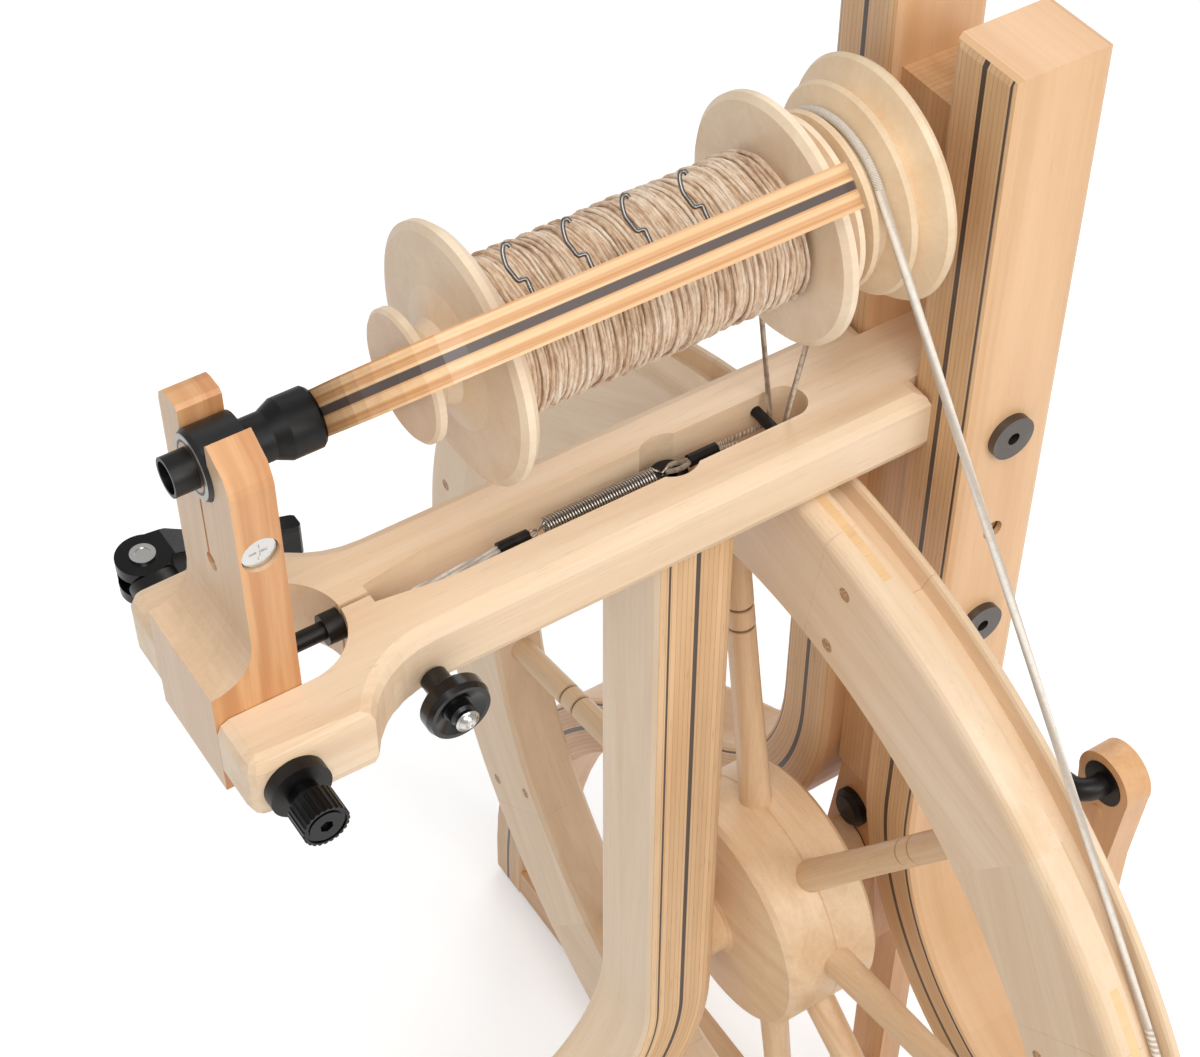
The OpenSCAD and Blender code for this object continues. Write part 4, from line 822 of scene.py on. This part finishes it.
class WHEEL_OT_hooks(bpy.types.Operator):
    """Bend the wire hooks on one flyer arm"""

    bl_idname = "wheel.hooks"
    bl_label = "Bend the hooks"

    def execute(self, context):
        arm_u, arm_d, margin, start = 0.0535, 0.0068, 0.0060, 0.0145
        across = Vector((cos(FLYER_TURN), 0, sin(FLYER_TURN)))
        up = Vector((-sin(FLYER_TURN), 0, cos(FLYER_TURN)))
        low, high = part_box("flyer_hooks")
        gap = (high[1] - low[1] - margin) / (HOOKS - 1)
        route = [(0, 0), (-0.0001, 0.0021), (-0.0002, 0.0041), (-0.0012, 0.0046), (-0.0026, 0.0048),
                 (-0.0033, 0.0068), (-0.0040, 0.0094), (-0.0038, 0.0118), (-0.0033, 0.0136),
                 (-0.0024, 0.0149), (-0.0013, 0.0149), (-0.0008, 0.0138)]
        wires = []
        for k in range(HOOKS):
            base = Vector((0, low[1] + start + gap * k, FLYER.z)) + across * arm_u + up * arm_d
            line = smooth_path([base + Vector((0, b, 0)) + up * c for b, c in route])
            wires.append(tube(line, context.scene.wheel_sizes.wire / 2, sides=3))
        steel = metal("hook_steel", tone(128, 124, 120), 0.24, scratch=90.0)
        keep("hooks_bent", joined(wires), "flyer", ["flyer_hooks"], steel)
        return {"FINISHED"}


class WHEEL_OT_screws(bpy.types.Operator):
    """Put the bright screw and its washer into the brake peg's knob"""

    bl_idname = "wheel.screws"
    bl_label = "Add the screw"

    def execute(self, context):
        radius, proud = 0.0032, 0.0022
        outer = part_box("brake_peg")[1][0] + proud
        shape = bmesh.new()
        bmesh.ops.create_cone(shape, segments=32, radius1=radius, radius2=radius * 0.55, depth=radius * 0.5,
                              cap_ends=True)
        top = max(shape.faces, key=lambda face: face.calc_center_median().z)
        bmesh.ops.inset_region(shape, faces=[top], thickness=radius * 0.2)
        bmesh.ops.translate(shape, verts=top.verts, vec=(0, 0, -radius * 0.18))
        edges = [edge for edge in shape.edges if edge.calc_face_angle(0) > 0.6]
        bmesh.ops.bevel(shape, geom=edges, offset=radius * 0.07, segments=2, profile=0.5, affect="EDGES",
                        material=-1)
        self.disc(shape, 24, radius * 0.5, radius * 1.4, -radius * 0.9)
        self.disc(shape, 32, radius * 1.25, radius * 0.16, -radius * 0.34)
        place = Matrix.Translation((outer, PEG.y, PEG.z)) @ Matrix.Rotation(pi / 2, 4, "Y")
        place = place @ Matrix.Translation((0, 0, radius * 0.15))
        bmesh.ops.transform(shape, matrix=place, verts=shape.verts)
        bright = metal("small_screws", tone(200, 198, 194), 0.22)
        keep("peg_screw", shape, "brake_peg", [], bright)
        return {"FINISHED"}

    def disc(self, shape, segments, radius, depth, at):
        """A stem or a washer under the head."""
        verts = bmesh.ops.create_cone(shape, segments=segments, radius1=radius, radius2=radius, depth=depth,
                                      cap_ends=True)["verts"]
        bmesh.ops.translate(shape, verts=verts, vec=(0, 0, at))


class WHEEL_OT_stage(bpy.types.Operator):
    """Set the floor, the light and the camera"""

    bl_idname = "wheel.stage"
    bl_label = "Set the stage"

    def execute(self, context):
        light = context.scene.wheel_light
        self.floor(context, light)
        self.lamps(context, light)
        self.camera(context)
        context.scene.view_settings.view_transform = "Standard"
        return {"FINISHED"}

    def floor(self, context, light):
        """A broad floor of white paper."""
        shape = bmesh.new()
        bmesh.ops.create_grid(shape, x_segments=1, y_segments=1, size=12)
        mesh = bpy.data.meshes.new("floor")
        shape.to_mesh(mesh)
        shape.free()
        floor = bpy.data.objects.new("floor", mesh)
        context.collection.objects.link(floor)
        mesh.materials.append(self.paper((*light.ground, 1.0)))

    def lamps(self, context, light):
        """A white room and three broad lamps: name, place, power and width."""
        world = bpy.data.worlds.new("room")
        context.scene.world = world
        world.use_nodes = True
        back = world.node_tree.nodes["Background"]
        back.inputs["Color"].default_value = (1, 1, 1, 1)
        back.inputs["Strength"].default_value = light.fill
        middle = Vector((0, 0, 0.55))
        for name, place, power, size in (("key", (1.1, -0.5, 2.4), light.key * 1.5, 1.3),
                                         ("side", (2.0, 0.6, 1.7), light.key, 1.2),
                                         ("back", (-1.4, 1.3, 2.0), light.key * 0.6, 1.2)):
            lamp = bpy.data.lights.new(name, "AREA")
            lamp.energy = power
            lamp.size = size
            holder = bpy.data.objects.new(name, lamp)
            context.collection.objects.link(holder)
            turn = (middle - Vector(place)).to_track_quat("-Z", "Y").to_matrix().to_4x4()
            holder.matrix_world = Matrix.Translation(place) @ turn

    def camera(self, context):
        """The photo's view, fitted to its straight edges and bolt heads."""
        width, focal_pixels, frame_width = 36, 2486.6, 1200
        azimuth, elevation, roll = radians(57.24), radians(46.32), radians(-0.109)
        backward = Vector((sin(azimuth) * cos(elevation), -cos(azimuth) * cos(elevation), sin(elevation)))
        right = Vector((cos(azimuth), sin(azimuth), 0))
        turn = Matrix((right, backward.cross(right), backward)).transposed().to_4x4()
        lens = bpy.data.cameras.new("camera")
        lens.sensor_fit = "HORIZONTAL"
        lens.sensor_width = width
        lens.lens = focal_pixels / frame_width * width
        lens.clip_end = 50
        camera = bpy.data.objects.new("camera", lens)
        context.collection.objects.link(camera)
        eye = WHEEL + Vector((0.4650, -0.3648, 0.8364))
        camera.matrix_world = Matrix.Translation(eye) @ turn @ Matrix.Rotation(roll, 4, "Z")
        context.scene.camera = camera

    def paper(self, colour):
        """White to the camera, with the object's shadow kept."""
        material = bpy.data.materials.new("floor_paper")
        material.use_nodes = True
        tree = material.node_tree
        shader = tree.nodes["Principled BSDF"]
        shader.inputs["Base Color"].default_value = colour
        shader.inputs["Roughness"].default_value = 0.9
        rays = Wire(tree).node("ShaderNodeLightPath")
        seen = rays.of("Is Camera Ray") + rays.of("Is Glossy Ray")
        glow = seen.node("ShaderNodeEmission", {}, {"Color": (1, 1, 1, 1), "Strength": seen * 0.35})
        both = glow.node("ShaderNodeAddShader", {}, {0: Wire(tree, shader.outputs[0]), 1: glow})
        tree.links.new(both.socket, tree.nodes["Material Output"].inputs["Surface"])
        return material


class WHEEL_PT_pieces(bpy.types.Panel):
    """Shows the sizes, the light and a button for each step of the wheel"""

    bl_label = "Spinning wheel"
    bl_idname = "WHEEL_PT_pieces"
    bl_space_type = "VIEW_3D"
    bl_region_type = "UI"
    bl_category = "Wheel"

    def draw(self, context):
        for group in (context.scene.wheel_sizes, context.scene.wheel_light):
            for name in group.__annotations__:
                self.layout.prop(group, name)
        for step in STEPS:
            self.layout.operator(step.bl_idname)


STEPS = (WHEEL_OT_woods, WHEEL_OT_metals, WHEEL_OT_yarn, WHEEL_OT_band, WHEEL_OT_brake, WHEEL_OT_hooks,
         WHEEL_OT_screws, WHEEL_OT_stage)
CLASSES = (WheelSizes, WheelLight, *STEPS, WHEEL_PT_pieces)


def register():
    for made in CLASSES:
        bpy.utils.register_class(made)
    bpy.types.Scene.wheel_sizes = bpy.props.PointerProperty(type=WheelSizes)
    bpy.types.Scene.wheel_light = bpy.props.PointerProperty(type=WheelLight)


def unregister():
    del bpy.types.Scene.wheel_light
    del bpy.types.Scene.wheel_sizes
    for made in reversed(CLASSES):
        bpy.utils.unregister_class(made)


def main():
    register()
    for step in STEPS:
        area, name = step.bl_idname.split(".")
        getattr(getattr(bpy.ops, area), name)()


if __name__ == "__main__":
    main()
